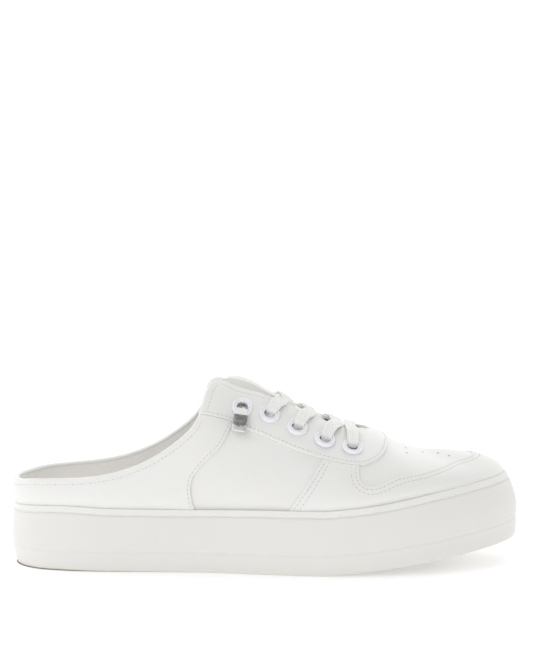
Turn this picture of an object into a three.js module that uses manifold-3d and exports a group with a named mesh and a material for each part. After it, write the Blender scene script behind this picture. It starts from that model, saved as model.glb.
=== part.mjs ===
// A backless platform sneaker, one shoe, in millimetres.
// +X is the toe, -X the heel, -Y the outer side, +Y the inner side, +Z up; the floor is z = 0.
import * as THREE from "three";
import { mergeVertices } from "three/addons/utils/BufferGeometryUtils.js";
import Module from "manifold-3d";

const wasm = await Module();
wasm.setup();

// Overall sizes
const LENGTH = 278;
const BALL_WIDTH = 102;
const INSTEP_HEIGHT = 104.5;
const TOE_HEIGHT = 60.7;
const CLEARANCE = 0.3;

// Sole
const SOLE_HEIGHT = 34.2;
const TOE_SPRING = 13.4;
const SPRING_START = 0.61;
const SPRING_POWER = 1.2;
const HEEL_STACK = 22;
const FOREFOOT_STACK = 16;
const STACK_DROP_START_SHARE = 0.25;
const STACK_DROP_END_SHARE = 0.62;
const LIP_THICKNESS = 2.0;
const LIP_BAND = 3.5;
const GROOVE_WIDTH = 1.4;
const GROOVE_DEPTH = 0.8;
const LINE_HEIGHT = 11;
const LINE_DEPTH = 0.35;
const EDGE_ROUND = 1.0;
const HEEL_UNDERCUT = 2.6;
const TOE_LEAN = 6.0;
const LEAN_POWER = 1.6;
const TREAD_DEPTH = 2.0;
const TREAD_WIDTH = 3.0;
const TREAD_PITCH = 11;
const TREAD_MARGIN = 9;

// Upper, overlays, tongue and insole
const UPPER_WALL = 2.0;
const HEEL_SWELL = 3.2;
const SWELL_HEIGHT = 5;
const RIDGE_REACH = 0.683;
const OVERLAY = 1.2;
const BACKSTAY_WIDTH = 20;
const THROAT_WIDTH = 29;
const TONGUE_THICKNESS = 4.5;
const TONGUE_WIDTH = 46;
const INSOLE_THICKNESS = 4;

// Eyelets and laces
const EYELETS = 5;
const EYELET_OUTER = 11.5;
const EYELET_BORE = 6;
const EYELET_BARREL = 7.4;
const EYELET_CAP = 1.8;
const EYELET_FIRST_SHARE = 0.454;
const EYELET_LAST_SHARE = 0.666;
const EYELET_RISE_SHARE = 0.757;
const LACE_WIDTH = 6.4;
const LACE_THICKNESS = 1.4;
const LACE_END = 2.8;
const TIP_WIDTH = 8.2;
const TIP_LENGTH = 9;
const TIP_THICKNESS = 2.2;

// How finely the curved pieces are cut
const RIBS = 52;
const RIB_STEPS = [0, 0.09, 0.21, 0.34, 0.48, 0.62, 0.76, 0.89, 1];
const BARREL_SIDES = 10;
const CURVE_STEPS = 14;

// Outline of the sole from above: its middle line and half breadth, as shares of the ball width.
// at is the share of the length from the heel. A half breadth counts times the sine of the rib's angle.
const OUTLINE = [
  { at: 0.0, middle: -0.02, half: 0.67 },
  { at: 0.05, middle: -0.02, half: 0.605 },
  { at: 0.1, middle: -0.018, half: 0.535 },
  { at: 0.2, middle: -0.012, half: 0.455 },
  { at: 0.3, middle: -0.008, half: 0.412 },
  { at: 0.4, middle: -0.012, half: 0.402 },
  { at: 0.5, middle: -0.018, half: 0.44 },
  { at: 0.6, middle: -0.012, half: 0.497 },
  { at: 0.7, middle: 0.0, half: 0.546 },
  { at: 0.8, middle: 0.026, half: 0.586 },
  { at: 0.9, middle: 0.055, half: 0.607 },
  { at: 1.0, middle: 0.08, half: 0.64 },
];

// Side of the sole: lip height as a share of the sole height above the bottom edge,
// and how far foot and top stand in, as shares of the heel undercut and the toe lean.
const SIDE = [
  { at: 0.0, lip: 0.975, foot: 1.0, top: 0.17 },
  { at: 0.1, lip: 1.03, foot: 0.9, top: 0.2 },
  { at: 0.2, lip: 1.0, foot: 0.65, top: 0.25 },
  { at: 0.35, lip: 0.99, foot: 0.55, top: 0.28 },
  { at: 0.5, lip: 1.01, foot: 0.5, top: 0.3 },
  { at: 0.66, lip: 1.015, foot: 0.5, top: 0.33 },
  { at: 0.73, lip: 1.02, foot: 0.45, top: 0.4 },
  { at: 0.83, lip: 1.05, foot: 0.3, top: 0.6 },
  { at: 0.93, lip: 1.045, foot: 0.12, top: 0.9 },
  { at: 1.0, lip: 1.026, foot: 0.1, top: 1.0 },
];

// Ridge of the last: its rise from toe height to instep height, and the middle line it follows.
const RIDGE = [
  { at: 0.1, rise: 1.03, middle: -0.015 },
  { at: 0.3, rise: 1.03, middle: -0.01 },
  { at: 0.4, rise: 1.01, middle: 0.0 },
  { at: 0.45, rise: 0.966, middle: 0.005 },
  { at: 0.5, rise: 0.868, middle: 0.01 },
  { at: 0.55, rise: 0.678, middle: 0.014 },
  { at: 0.6, rise: 0.486, middle: 0.018 },
  { at: 0.65, rise: 0.338, middle: 0.022 },
  { at: 0.7, rise: 0.251, middle: 0.027 },
  { at: 0.75, rise: 0.116, middle: 0.034 },
  { at: 0.8, rise: 0.018, middle: 0.042 },
  { at: 0.85, rise: 0.0, middle: 0.05 },
  { at: 0.9, rise: -0.02, middle: 0.06 },
];

// Section of the last: how far the side stays upright, how broad its crown is, how much it swells.
const SECTION = [
  { at: 0.0, upright: 0.48, crown: 0.45, swell: 1.0 },
  { at: 0.15, upright: 0.48, crown: 0.42, swell: 0.8 },
  { at: 0.34, upright: 0.46, crown: 0.8, swell: 0.65 },
  { at: 0.38, upright: 0.45, crown: 0.75, swell: 0.63 },
  { at: 0.43, upright: 0.44, crown: 0.45, swell: 0.62 },
  { at: 0.5, upright: 0.43, crown: 0.34, swell: 0.6 },
  { at: 0.65, upright: 0.45, crown: 0.42, swell: 0.5 },
  { at: 0.8, upright: 0.45, crown: 0.5, swell: 0.35 },
  { at: 1.0, upright: 0.38, crown: 0.5, swell: 0.15 },
];

// Edges seen from the side. rise is the share of the height from the sole's lip to the ridge.
const COLLAR = [
  { at: -0.06, rise: 0.165 },
  { at: 0.018, rise: 0.18 },
  { at: 0.05, rise: 0.192 },
  { at: 0.122, rise: 0.201 },
  { at: 0.162, rise: 0.219 },
  { at: 0.201, rise: 0.249 },
  { at: 0.237, rise: 0.291 },
  { at: 0.277, rise: 0.358 },
  { at: 0.306, rise: 0.427 },
  { at: 0.335, rise: 0.508 },
  { at: 0.355, rise: 0.58 },
  { at: 0.371, rise: 0.665 },
  { at: 0.381, rise: 0.77 },
  { at: 0.389, rise: 0.87 },
  { at: 0.397, rise: 0.925 },
  { at: 0.406, rise: 0.955 },
  { at: 0.416, rise: 0.965 },
];
const EYESTAY_EDGE = [
  { at: 0.34, rise: 0.71 },
  { at: 0.371, rise: 0.702 },
  { at: 0.403, rise: 0.684 },
  { at: 0.433, rise: 0.655 },
  { at: 0.464, rise: 0.61 },
  { at: 0.5, rise: 0.583 },
  { at: 0.567, rise: 0.566 },
  { at: 0.644, rise: 0.572 },
  { at: 0.683, rise: 0.57 },
  { at: 0.701, rise: 0.609 },
  { at: 0.721, rise: 0.726 },
  { at: 0.733, rise: 0.857 },
  { at: 0.738, rise: 1.0 },
];
const QUARTER_EDGE = [
  { at: 0.372, rise: -0.1 },
  { at: 0.36, rise: 0.059 },
  { at: 0.356, rise: 0.143 },
  { at: 0.36, rise: 0.238 },
  { at: 0.374, rise: 0.311 },
  { at: 0.392, rise: 0.388 },
  { at: 0.41, rise: 0.45 },
  { at: 0.421, rise: 0.518 },
  { at: 0.437, rise: 0.64 },
];
const GUARD_REAR_EDGE = [
  { at: 0.53, rise: -0.1 },
  { at: 0.545, rise: 0.0 },
  { at: 0.558, rise: 0.101 },
  { at: 0.572, rise: 0.201 },
  { at: 0.59, rise: 0.366 },
  { at: 0.601, rise: 0.475 },
  { at: 0.614, rise: 0.62 },
];
const GUARD_TOP_EDGE = [
  { at: 0.685, rise: 0.66 },
  { at: 0.681, rise: 0.58 },
  { at: 0.679, rise: 0.501 },
  { at: 0.679, rise: 0.411 },
  { at: 0.682, rise: 0.35 },
  { at: 0.694, rise: 0.295 },
  { at: 0.71, rise: 0.302 },
  { at: 0.727, rise: 0.356 },
  { at: 0.743, rise: 0.445 },
  { at: 0.763, rise: 0.53 },
  { at: 0.806, rise: 0.625 },
  { at: 0.835, rise: 0.69 },
  { at: 0.863, rise: 0.792 },
  { at: 0.885, rise: 0.92 },
  { at: 0.896, rise: 1.1 },
];

// Plan outlines about the middle line: breadth as a share of the named width.
const THROAT = [
  { at: 0.3, breadth: 1.0 },
  { at: 0.42, breadth: 1.0 },
  { at: 0.55, breadth: 0.97 },
  { at: 0.64, breadth: 0.9 },
  { at: 0.68, breadth: 0.72 },
  { at: 0.698, breadth: 0.4 },
  { at: 0.703, breadth: 0.0 },
];
const TONGUE_PLAN = [
  { at: 0.416, breadth: 0.0 },
  { at: 0.417, breadth: 0.55 },
  { at: 0.423, breadth: 0.85 },
  { at: 0.44, breadth: 1.0 },
  { at: 0.6, breadth: 0.96 },
  { at: 0.72, breadth: 0.78 },
  { at: 0.745, breadth: 0.6 },
  { at: 0.75, breadth: 0.0 },
];

// Lace strand across the throat. across is -2 at the near eyelet, -1 at the near edge of the throat,
// 0 on the middle line and 1 at the far edge; forward is a share of the eyelet spacing.
const STRAND = [
  { across: -2.0, forward: 0.0, over: "eyelet" },
  { across: -1.5, forward: 0.07, over: "eyelet" },
  { across: -1.12, forward: 0.13, over: "eyelet" },
  { across: -0.9, forward: 0.18, over: "eyestay" },
  { across: -0.72, forward: 0.24, over: "edge" },
  { across: -0.52, forward: 0.33, over: "tongue" },
  { across: -0.26, forward: 0.44, over: "tongue" },
  { across: 0.0, forward: 0.54, over: "tongue" },
  { across: 0.26, forward: 0.64, over: "tongue" },
  { across: 0.52, forward: 0.75, over: "tongue" },
  { across: 0.78, forward: 0.85, over: "tongue" },
];
const CROSSING_SHARE = 0.6;

// How much of a lace's thickness the upper strand of a crossing lies above the lower one.
const STACKED_SHARE = 0.93;

// A table's column at a share of the length, on a smooth curve through its rows.
function read(table, column, at) {
  const last = table.length - 1;
  const place = THREE.MathUtils.clamp(at, table[0].at, table[last].at);
  let i = 0;
  while (i < last - 1 && place > table[i + 1].at) i += 1;
  const slope = (k) => {
    const before = table[Math.max(k - 1, 0)];
    const after = table[Math.min(k + 1, last)];
    return (after[column] - before[column]) / (after.at - before.at);
  };
  const step = table[i + 1].at - table[i].at;
  const u = (place - table[i].at) / step;
  const ease = u * u * (3 - 2 * u);
  const leave = u * (1 - u) * (1 - u) * step * slope(i);
  const arrive = u * u * (1 - u) * step * slope(i + 1);
  return table[i][column] * (1 - ease) + table[i + 1][column] * ease + leave - arrive;
}

const shareOf = (x) => x / LENGTH + 0.5;
const placeOf = (share) => (share - 0.5) * LENGTH;

// The step, as a share of the length or of a rib, over which slopes are taken
const SLOPE_STEP = 0.01;

// Heights along the length
function bottomHeight(share) {
  const beyond = Math.max(0, (share - SPRING_START) / (1 - SPRING_START));
  return TOE_SPRING * beyond ** SPRING_POWER;
}

function lipHeight(share) {
  return bottomHeight(share) + SOLE_HEIGHT * read(SIDE, "lip", share);
}

function floorHeight(share) {
  const drop = THREE.MathUtils.smoothstep(share, STACK_DROP_START_SHARE, STACK_DROP_END_SHARE);
  return bottomHeight(share) + HEEL_STACK + (FOREFOOT_STACK - HEEL_STACK) * drop;
}

function ridgeHeight(share) {
  return TOE_HEIGHT + (INSTEP_HEIGHT - TOE_HEIGHT) * read(RIDGE, "rise", share);
}

// How steeply the ridge rises towards the toe.
function ridgeSlope(share) {
  return (ridgeHeight(share + SLOPE_STEP) - ridgeHeight(share - SLOPE_STEP)) / (2 * SLOPE_STEP * LENGTH);
}

// Outline of the sole at an angle: 0 at the heel, pi at the toe, the outer side between them.
const shareAt = (angle) => (1 - Math.cos(angle)) / 2;

function outlinePoint(angle) {
  const share = shareAt(angle);
  const breadth = read(OUTLINE, "half", share) * Math.sin(angle);
  return new THREE.Vector2(placeOf(share), BALL_WIDTH * (read(OUTLINE, "middle", share) - breadth));
}

function outwardAt(angle) {
  const step = SLOPE_STEP;
  const along = outlinePoint(angle + step).sub(outlinePoint(angle - step));
  return new THREE.Vector2(along.y, -along.x).normalize();
}

function insetPoint(angle, inset) {
  return outlinePoint(angle).addScaledVector(outwardAt(angle), -inset);
}

// How far the sole's side stands in from its widest outline at a height above the floor.
function wallInset(share, height) {
  const bottom = bottomHeight(share);
  const level = (height - bottom) / (lipHeight(share) - bottom);
  const foot = HEEL_UNDERCUT * read(SIDE, "foot", share) * Math.max(0, 1 - 2 * level) ** 2;
  const top = topInset(share) * Math.max(0, 2 * level - 1) ** LEAN_POWER;
  return foot + top;
}

function topInset(share) {
  return TOE_LEAN * read(SIDE, "top", share);
}

const recessInset = (share) => topInset(share) + LIP_THICKNESS;

// A closed solid from position triples, three to a triangle.
function solidOf(positions) {
  const geometry = new THREE.BufferGeometry();
  geometry.setAttribute("position", new THREE.Float32BufferAttribute(positions, 3));
  return manifoldOf(geometry);
}

function manifoldOf(source) {
  const geometry = source.clone();
  geometry.deleteAttribute("normal");
  geometry.deleteAttribute("uv");
  const merged = mergeVertices(geometry, 1e-4);
  const corners = merged.index.array;
  const triVerts = [];
  for (let i = 0; i < corners.length; i += 3) {
    const [a, b, c] = corners.slice(i, i + 3);
    if (a !== b && b !== c && c !== a) triVerts.push(a, b, c);
  }
  return new wasm.Manifold(
    new wasm.Mesh({
      numProp: 3,
      vertProperties: merged.attributes.position.array,
      triVerts: new Uint32Array(triVerts),
    }),
  );
}

function geometryOf(solid) {
  const mesh = solid.getMesh();
  const geometry = new THREE.BufferGeometry();
  geometry.setAttribute("position", new THREE.BufferAttribute(mesh.vertProperties, 3));
  geometry.setIndex(new THREE.BufferAttribute(mesh.triVerts, 1));
  return geometry;
}

function pushTriangle(positions, a, b, c) {
  positions.push(a.x, a.y, a.z, b.x, b.y, b.z, c.x, c.y, c.z);
}

// Rings stacked from the underside outwards and up; each ring runs from the heel round the outer side.
// The first ring is closed across from side to side, and so is the last one unless it meets in a ridge.
function stackSolid(rings, topOpen) {
  const positions = [];
  for (let j = 0; j + 1 < rings.length; j += 1) {
    for (let i = 0; i < RIBS; i += 1) {
      const k = (i + 1) % RIBS;
      pushTriangle(positions, rings[j][i], rings[j][k], rings[j + 1][k]);
      pushTriangle(positions, rings[j][i], rings[j + 1][k], rings[j + 1][i]);
    }
  }
  closeAcross(positions, rings[0], false);
  if (topOpen) closeAcross(positions, rings[rings.length - 1], true);
  return solidOf(positions);
}

function closeAcross(positions, ring, facingUp) {
  for (let i = 0; i < RIBS / 2; i += 1) {
    const corners = [ring[i], ring[(RIBS - i) % RIBS], ring[RIBS - i - 1], ring[i + 1]];
    if (facingUp) corners.reverse();
    pushTriangle(positions, corners[0], corners[1], corners[2]);
    pushTriangle(positions, corners[0], corners[2], corners[3]);
  }
}

function ringOf(pointAt) {
  return Array.from({ length: RIBS }, (_, i) => pointAt((i / RIBS) * 2 * Math.PI));
}

// A prism across the shoe from an outline in the side view, and one upright from an outline in plan.
// Cutters reach this far past the middle of the shoe, which is past all of it.
const BEYOND = 0.75 * LENGTH;

function sidePrism(outline) {
  const shape = new THREE.Shape(outline);
  const prism = new THREE.ExtrudeGeometry(shape, { depth: 2 * BEYOND, bevelEnabled: false });
  prism.rotateX(Math.PI / 2);
  prism.translate(0, BEYOND, 0);
  return manifoldOf(prism);
}

function planPrism(outline) {
  const shape = new THREE.Shape(outline);
  const prism = new THREE.ExtrudeGeometry(shape, { depth: 2 * BEYOND, bevelEnabled: false });
  prism.translate(0, 0, -BEYOND);
  return manifoldOf(prism);
}

function box(low, high) {
  const size = new THREE.Vector3().subVectors(high, low);
  const made = new THREE.BoxGeometry(size.x, size.y, size.z);
  made.translate((low.x + high.x) / 2, (low.y + high.y) / 2, (low.z + high.z) / 2);
  return manifoldOf(made);
}

// The last. A rib starts at the sole's lip and rises over the side to the ridge; level runs from 0 to 1.
// It arrives along the ridge's own slope, so the two sides meet there without a crease.
// Below level 0 it goes straight down inside the lip.
function ribPoint(angle, level) {
  const share = shareAt(angle);
  const start = insetPoint(angle, recessInset(share) + CLEARANCE);
  const low = lipHeight(share);
  const ridgeX = placeOf(share) * RIDGE_REACH;
  const ridgeShare = shareOf(ridgeX);
  const end = new THREE.Vector2(ridgeX, BALL_WIDTH * read(RIDGE, "middle", ridgeShare));
  const high = ridgeHeight(ridgeShare);
  const upright = read(SECTION, "upright", share);
  const crown = read(SECTION, "crown", share);
  const rest = 1 - level;
  const nearStart = rest ** 3 + 3 * rest * rest * level;
  const nearCrown = 3 * rest * level * level;
  const shoulder = high + ridgeSlope(ridgeShare) * crown * (start.x - ridgeX);
  const height =
    low * nearStart +
    upright * (high - low) * 3 * rest * rest * level +
    shoulder * nearCrown +
    high * level ** 3;
  const towards = nearStart + crown * nearCrown;
  const swell = HEEL_SWELL * read(SECTION, "swell", share) * rest * rest;
  const bulge = swell * (1 - Math.exp((low - height) / SWELL_HEIGHT));
  const plan = end.lerp(start, towards).addScaledVector(outwardAt(angle), bulge);
  return new THREE.Vector3(plan.x, plan.y, height);
}

function ribNormal(angle, level) {
  const step = SLOPE_STEP;
  if (level > 1 - step) {
    const share = shareOf(ribPoint(angle, 1).x);
    return new THREE.Vector3(-ridgeSlope(share), 0, 1).normalize();
  }
  const up = ribPoint(angle, level + step).sub(ribPoint(angle, Math.max(0, level - step)));
  const along = ribPoint(angle + step, level).sub(ribPoint(angle - step, level));
  return along.cross(up).normalize();
}

const lastPoint = (angle, level, offset) =>
  ribPoint(angle, level).addScaledVector(ribNormal(angle, level), offset);

// The last grown by an offset, as a solid that stands on the sole's floor or reaches below it.
function lastSolid(offset, below) {
  const skirt = ringOf((angle) => {
    const share = shareAt(angle);
    const plan = insetPoint(angle, recessInset(share) + CLEARANCE - offset);
    return new THREE.Vector3(plan.x, plan.y, floorHeight(share) + CLEARANCE - below);
  });
  const rings = RIB_STEPS.map((level) => ringOf((angle) => lastPoint(angle, level, offset)));
  return stackSolid([skirt, ...rings], false);
}

function skin(outer, thickness) {
  return lastSolid(outer, 0).subtract(lastSolid(outer - thickness, HEEL_STACK));
}

// The value between low and high at which a steady function takes the wanted value.
function solve(low, high, wanted, valueAt) {
  const rising = valueAt(high) > valueAt(low);
  let from = low;
  let to = high;
  for (let i = 0; i < 40; i += 1) {
    const middle = (from + to) / 2;
    if (valueAt(middle) < wanted === rising) from = middle;
    else to = middle;
  }
  return (from + to) / 2;
}

// The rib and level on one side of the last where x and a second coordinate are given.
function seek(x, axis, value, side) {
  const [heel, toe] = side < 0 ? [0, Math.PI] : [2 * Math.PI, Math.PI];
  const angleAt = (level) => solve(heel, toe, x, (angle) => ribPoint(angle, level).x);
  const level = solve(0, 1, value, (tried) => ribPoint(angleAt(tried), tried)[axis]);
  return { angle: angleAt(level), level };
}

// Edges in the side view
function edgeHeight(share, rise) {
  const low = lipHeight(share);
  return low + rise * (ridgeHeight(share) - low);
}

function edgeCurve(table, lift = 0) {
  const points = table.map(
    ({ at, rise }) => new THREE.Vector2(placeOf(at), edgeHeight(at, rise) + lift),
  );
  return new THREE.SplineCurve(points).getPoints(CURVE_STEPS);
}

const sidePoint = (share, height) => new THREE.Vector2(placeOf(share), height);

function planOutline(table, width) {
  const half = (row, side) => {
    const middle = BALL_WIDTH * read(RIDGE, "middle", row.at);
    return new THREE.Vector2(placeOf(row.at), middle + (side * row.breadth * width) / 2);
  };
  const outer = new THREE.SplineCurve(table.map((row) => half(row, -1))).getPoints(CURVE_STEPS);
  const inner = new THREE.SplineCurve(table.map((row) => half(row, 1))).getPoints(CURVE_STEPS);
  return [...outer, ...inner.reverse()];
}

// Cutters shared by the upper and its overlays
const aboveCollar = sidePrism([
  ...edgeCurve(COLLAR),
  sidePoint(0.42, BEYOND),
  sidePoint(-0.06, BEYOND),
]);
const throatCut = planPrism(planOutline(THROAT, THROAT_WIDTH));

// All that lies no more than the clearance above the sole's lip, inside and outside of it
function lipCut() {
  const spread = 5 * LIP_THICKNESS;
  const ringAt = (inset, heightAt) =>
    ringOf((angle) => {
      const plan = insetPoint(angle, inset);
      return new THREE.Vector3(plan.x, plan.y, heightAt(shareAt(angle)));
    });
  const lipAt = (share) => lipHeight(share) + CLEARANCE;
  return stackSolid([ringAt(-spread, () => -BEYOND), ringAt(-spread, lipAt), ringAt(spread, lipAt)], true);
}

const belowLip = lipCut();

function eyestayArea(drop) {
  return sidePrism([
    ...edgeCurve(EYESTAY_EDGE, -drop),
    sidePoint(0.74, BEYOND),
    sidePoint(0.34, BEYOND),
  ]);
}

// Eyelet places, on the last, outer side first
function eyeletPlace(index, side) {
  const share = THREE.MathUtils.lerp(EYELET_FIRST_SHARE, EYELET_LAST_SHARE, index / (EYELETS - 1));
  return seek(placeOf(share), "z", edgeHeight(share, EYELET_RISE_SHARE), side);
}

const SIDES = [
  { name: "lateral", side: -1 },
  { name: "medial", side: 1 },
];
const eyeletPlaces = SIDES.flatMap(({ name, side }) =>
  Array.from({ length: EYELETS }, (_, index) => ({
    name: `eyelet_${name}_${index + 1}`,
    ...eyeletPlace(index, side),
  })),
);

function eyeletHoles() {
  const radius = EYELET_BARREL / 2 + CLEARANCE;
  const reach = UPPER_WALL + 2 * OVERLAY + EYELET_CAP;
  return eyeletPlaces.map((place) => {
    const bore = new THREE.CylinderGeometry(radius, radius, 2 * reach, BARREL_SIDES);
    bore.applyQuaternion(turnTo(ribNormal(place.angle, place.level)));
    const centre = ribPoint(place.angle, place.level);
    bore.translate(centre.x, centre.y, centre.z);
    return manifoldOf(bore);
  });
}

function turnTo(normal) {
  return new THREE.Quaternion().setFromUnitVectors(new THREE.Vector3(0, 1, 0), normal);
}

const holes = eyeletHoles();
const drilled = (solid) => holes.reduce((left, hole) => left.subtract(hole), solid);

// Sub-parts
function soleSolid() {
  const bottomRow = (rise, inset) => (share) => ({ height: bottomHeight(share) + rise, inset });
  const lipRow = (drop, inset) => (share) => ({ height: lipHeight(share) - drop, inset });
  const halfGroove = GROOVE_WIDTH / 2;
  const sideRows = [
    bottomRow(0, EDGE_ROUND),
    bottomRow(EDGE_ROUND, 0),
    bottomRow(LINE_HEIGHT - LINE_DEPTH, 0),
    bottomRow(LINE_HEIGHT, LINE_DEPTH),
    bottomRow(LINE_HEIGHT + LINE_DEPTH, 0),
    bottomRow(0.6 * SOLE_HEIGHT, 0),
    lipRow(LIP_BAND + halfGroove, 0),
    lipRow(LIP_BAND, GROOVE_DEPTH),
    lipRow(LIP_BAND - halfGroove, 0),
    lipRow(LIP_THICKNESS / 3, 0),
    lipRow(0, LIP_THICKNESS / 3),
  ];
  const rings = sideRows.map((rowAt) =>
    ringOf((angle) => {
      const share = shareAt(angle);
      const { height, inset } = rowAt(share);
      const plan = insetPoint(angle, wallInset(share, height) + inset);
      return new THREE.Vector3(plan.x, plan.y, height);
    }),
  );
  for (const heightAt of [lipHeight, floorHeight]) {
    rings.push(
      ringOf((angle) => {
        const share = shareAt(angle);
        const plan = insetPoint(angle, recessInset(share));
        return new THREE.Vector3(plan.x, plan.y, heightAt(share));
      }),
    );
  }
  return stackSolid(rings, true).subtract(treadGrooves());
}

// Straight grooves across the heel and the forefoot, clear of the sole's edge.
function treadGrooves() {
  const ringAt = (lift) =>
    ringOf((angle) => {
      const share = shareAt(angle);
      const plan = insetPoint(angle, TREAD_MARGIN);
      return new THREE.Vector3(plan.x, plan.y, bottomHeight(share) + lift);
    });
  const slab = stackSolid([ringAt(-TREAD_DEPTH), ringAt(TREAD_DEPTH)], true);
  const zones = [
    { from: 0.08, to: 0.28 },
    { from: 0.55, to: 0.9 },
  ];
  const bars = zones.flatMap(({ from, to }) => {
    const count = Math.floor(((to - from) * LENGTH) / TREAD_PITCH);
    return Array.from({ length: count }, (_, i) => {
      const x = placeOf(from) + i * TREAD_PITCH;
      const low = new THREE.Vector3(x, -BEYOND, -BEYOND);
      return box(low, new THREE.Vector3(x + TREAD_WIDTH, BEYOND, BEYOND));
    });
  });
  return slab.intersect(bars.reduce((joined, bar) => joined.add(bar)));
}

function upperSolid() {
  return drilled(skin(0, UPPER_WALL).subtract(aboveCollar).subtract(throatCut));
}

function insoleSolid() {
  const ringAt = (lift) =>
    ringOf((angle) => {
      const share = shareAt(angle);
      const plan = insetPoint(angle, recessInset(share) + UPPER_WALL + 2 * CLEARANCE);
      return new THREE.Vector3(plan.x, plan.y, floorHeight(share) + CLEARANCE + lift);
    });
  return stackSolid([ringAt(0), ringAt(INSOLE_THICKNESS)], true);
}

function tongueSolid() {
  const area = planPrism(planOutline(TONGUE_PLAN, TONGUE_WIDTH));
  return skin(-UPPER_WALL - CLEARANCE, TONGUE_THICKNESS).intersect(area);
}

const overlaySkin = skin(CLEARANCE + OVERLAY, OVERLAY).subtract(belowLip).subtract(aboveCollar);

function eyestaySolid() {
  return drilled(overlaySkin.intersect(eyestayArea(0)).subtract(throatCut));
}

function toeOverlaySolid() {
  const area = sidePrism([
    ...edgeCurve(GUARD_REAR_EDGE),
    ...edgeCurve(GUARD_TOP_EDGE),
    sidePoint(0.9, BEYOND),
    sidePoint(1.1, BEYOND),
    sidePoint(1.1, 0),
    sidePoint(0.53, 0),
  ]);
  return overlaySkin.intersect(area).subtract(eyestayArea(2 * CLEARANCE));
}

function quarterOverlaySolid(side) {
  const area = sidePrism([
    sidePoint(-0.1, 0),
    ...edgeCurve(QUARTER_EDGE),
    sidePoint(0.34, INSTEP_HEIGHT),
    sidePoint(-0.1, INSTEP_HEIGHT),
  ]);
  const start = side * (BACKSTAY_WIDTH / 2 + CLEARANCE);
  const half = box(
    new THREE.Vector3(-BEYOND, Math.min(start, side * BEYOND), -BEYOND),
    new THREE.Vector3(BEYOND, Math.max(start, side * BEYOND), BEYOND),
  );
  return overlaySkin.intersect(area).intersect(half).subtract(eyestayArea(2 * CLEARANCE));
}

function backstaySolid() {
  const half = BACKSTAY_WIDTH / 2;
  return overlaySkin.intersect(
    box(new THREE.Vector3(-BEYOND, -half, -BEYOND), new THREE.Vector3(placeOf(0.2), half, BEYOND)),
  );
}

// Layers over the last: how high each one's outer face lies.
const EYESTAY_TOP = CLEARANCE + OVERLAY;
const EYELET_SEAT = EYESTAY_TOP + 2 * CLEARANCE;
const EYELET_TOP = EYELET_SEAT + EYELET_CAP;
const TONGUE_TOP = -UPPER_WALL - CLEARANCE;

function eyeletGeometry() {
  const bore = EYELET_BORE / 2;
  const barrel = EYELET_BARREL / 2;
  const rim = EYELET_OUTER / 2;
  const profile = [
    [bore, CLEARANCE - UPPER_WALL],
    [barrel, CLEARANCE - UPPER_WALL],
    [barrel, EYELET_SEAT],
    [rim, EYELET_SEAT],
    [rim - CLEARANCE, EYELET_SEAT + 0.6 * EYELET_CAP],
    [(rim + bore) / 2, EYELET_TOP],
    [bore, EYELET_TOP - 0.4 * EYELET_CAP],
  ].map(([radius, height]) => new THREE.Vector2(radius, height));
  return new THREE.LatheGeometry([...profile, profile[0]], BARREL_SIDES);
}

// A flat band along places on the last, each with its own height over the last.
function bandSolid(places, width, thickness) {
  const frames = places.map(({ angle, level, height }) => {
    const normal = ribNormal(angle, level);
    return { centre: lastPoint(angle, level, height), normal };
  });
  const sections = frames.map(({ centre, normal }, i) => {
    const before = frames[Math.max(i - 1, 0)].centre;
    const after = frames[Math.min(i + 1, frames.length - 1)].centre;
    const along = new THREE.Vector3().subVectors(after, before).normalize();
    const across = new THREE.Vector3().crossVectors(normal, along).normalize();
    const up = new THREE.Vector3().crossVectors(along, across);
    const corner = (right, top) =>
      centre
        .clone()
        .addScaledVector(across, (right * width) / 2)
        .addScaledVector(up, (top * thickness) / 2);
    return [corner(-1, -1), corner(1, -1), corner(1, 1), corner(-1, 1)];
  });
  const positions = [];
  const quad = (a, b, c, d) => {
    pushTriangle(positions, a, b, c);
    pushTriangle(positions, a, c, d);
  };
  for (let i = 0; i + 1 < sections.length; i += 1) {
    for (let k = 0; k < 4; k += 1) {
      const n = (k + 1) % 4;
      quad(sections[i][k], sections[i][n], sections[i + 1][n], sections[i + 1][k]);
    }
  }
  quad(...[...sections[0]].reverse());
  quad(...sections[sections.length - 1]);
  return solidOf(positions);
}

// How high the middle of a lace lies over the last on each layer.
const LACE_OVER = {
  eyelet: EYELET_TOP + 2.5 * CLEARANCE + LACE_THICKNESS / 2,
  eyestay: EYESTAY_TOP + 2 * CLEARANCE + LACE_THICKNESS / 2,
  edge: 1.5 * CLEARANCE + LACE_THICKNESS / 2,
  tongue: TONGUE_TOP + 2 * CLEARANCE + LACE_THICKNESS / 2,
  crossing: TONGUE_TOP + 3 * CLEARANCE + 2.5 * LACE_THICKNESS,
};

function eyeletCentre(index, side) {
  const place = eyeletPlace(index, side);
  return ribPoint(place.angle, place.level);
}

// The place on the last at a share of the way across the throat, counted from one side.
function placeAcross(x, across, side, index) {
  const share = shareOf(x);
  const middle = BALL_WIDTH * read(RIDGE, "middle", share);
  const edge = (THROAT_WIDTH * read(THROAT, "breadth", share)) / 2;
  const towards = across <= 0 ? side : -side;
  const eyelet = Math.abs(eyeletCentre(index, towards).y - middle);
  const part = Math.abs(across);
  const distance = part < 1 ? part * edge : edge + (part - 1) * (eyelet - edge);
  return seek(x, "y", middle + towards * distance, towards);
}

// A strand from one eyelet over the throat, from the given side, raised where it lies on another strand.
function strandSolid(index, side, raised) {
  const start = eyeletCentre(index, side).x;
  const spacing = eyeletCentre(index + 1, side).x - start;
  const places = STRAND.map(({ across, forward, over }) => {
    const lift = Math.abs(across) < CROSSING_SHARE ? raised : 0;
    const place = placeAcross(start + forward * spacing, across, side, index);
    return { ...place, height: LACE_OVER[over] + lift };
  });
  return bandSolid(places, LACE_WIDTH, LACE_THICKNESS);
}

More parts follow.
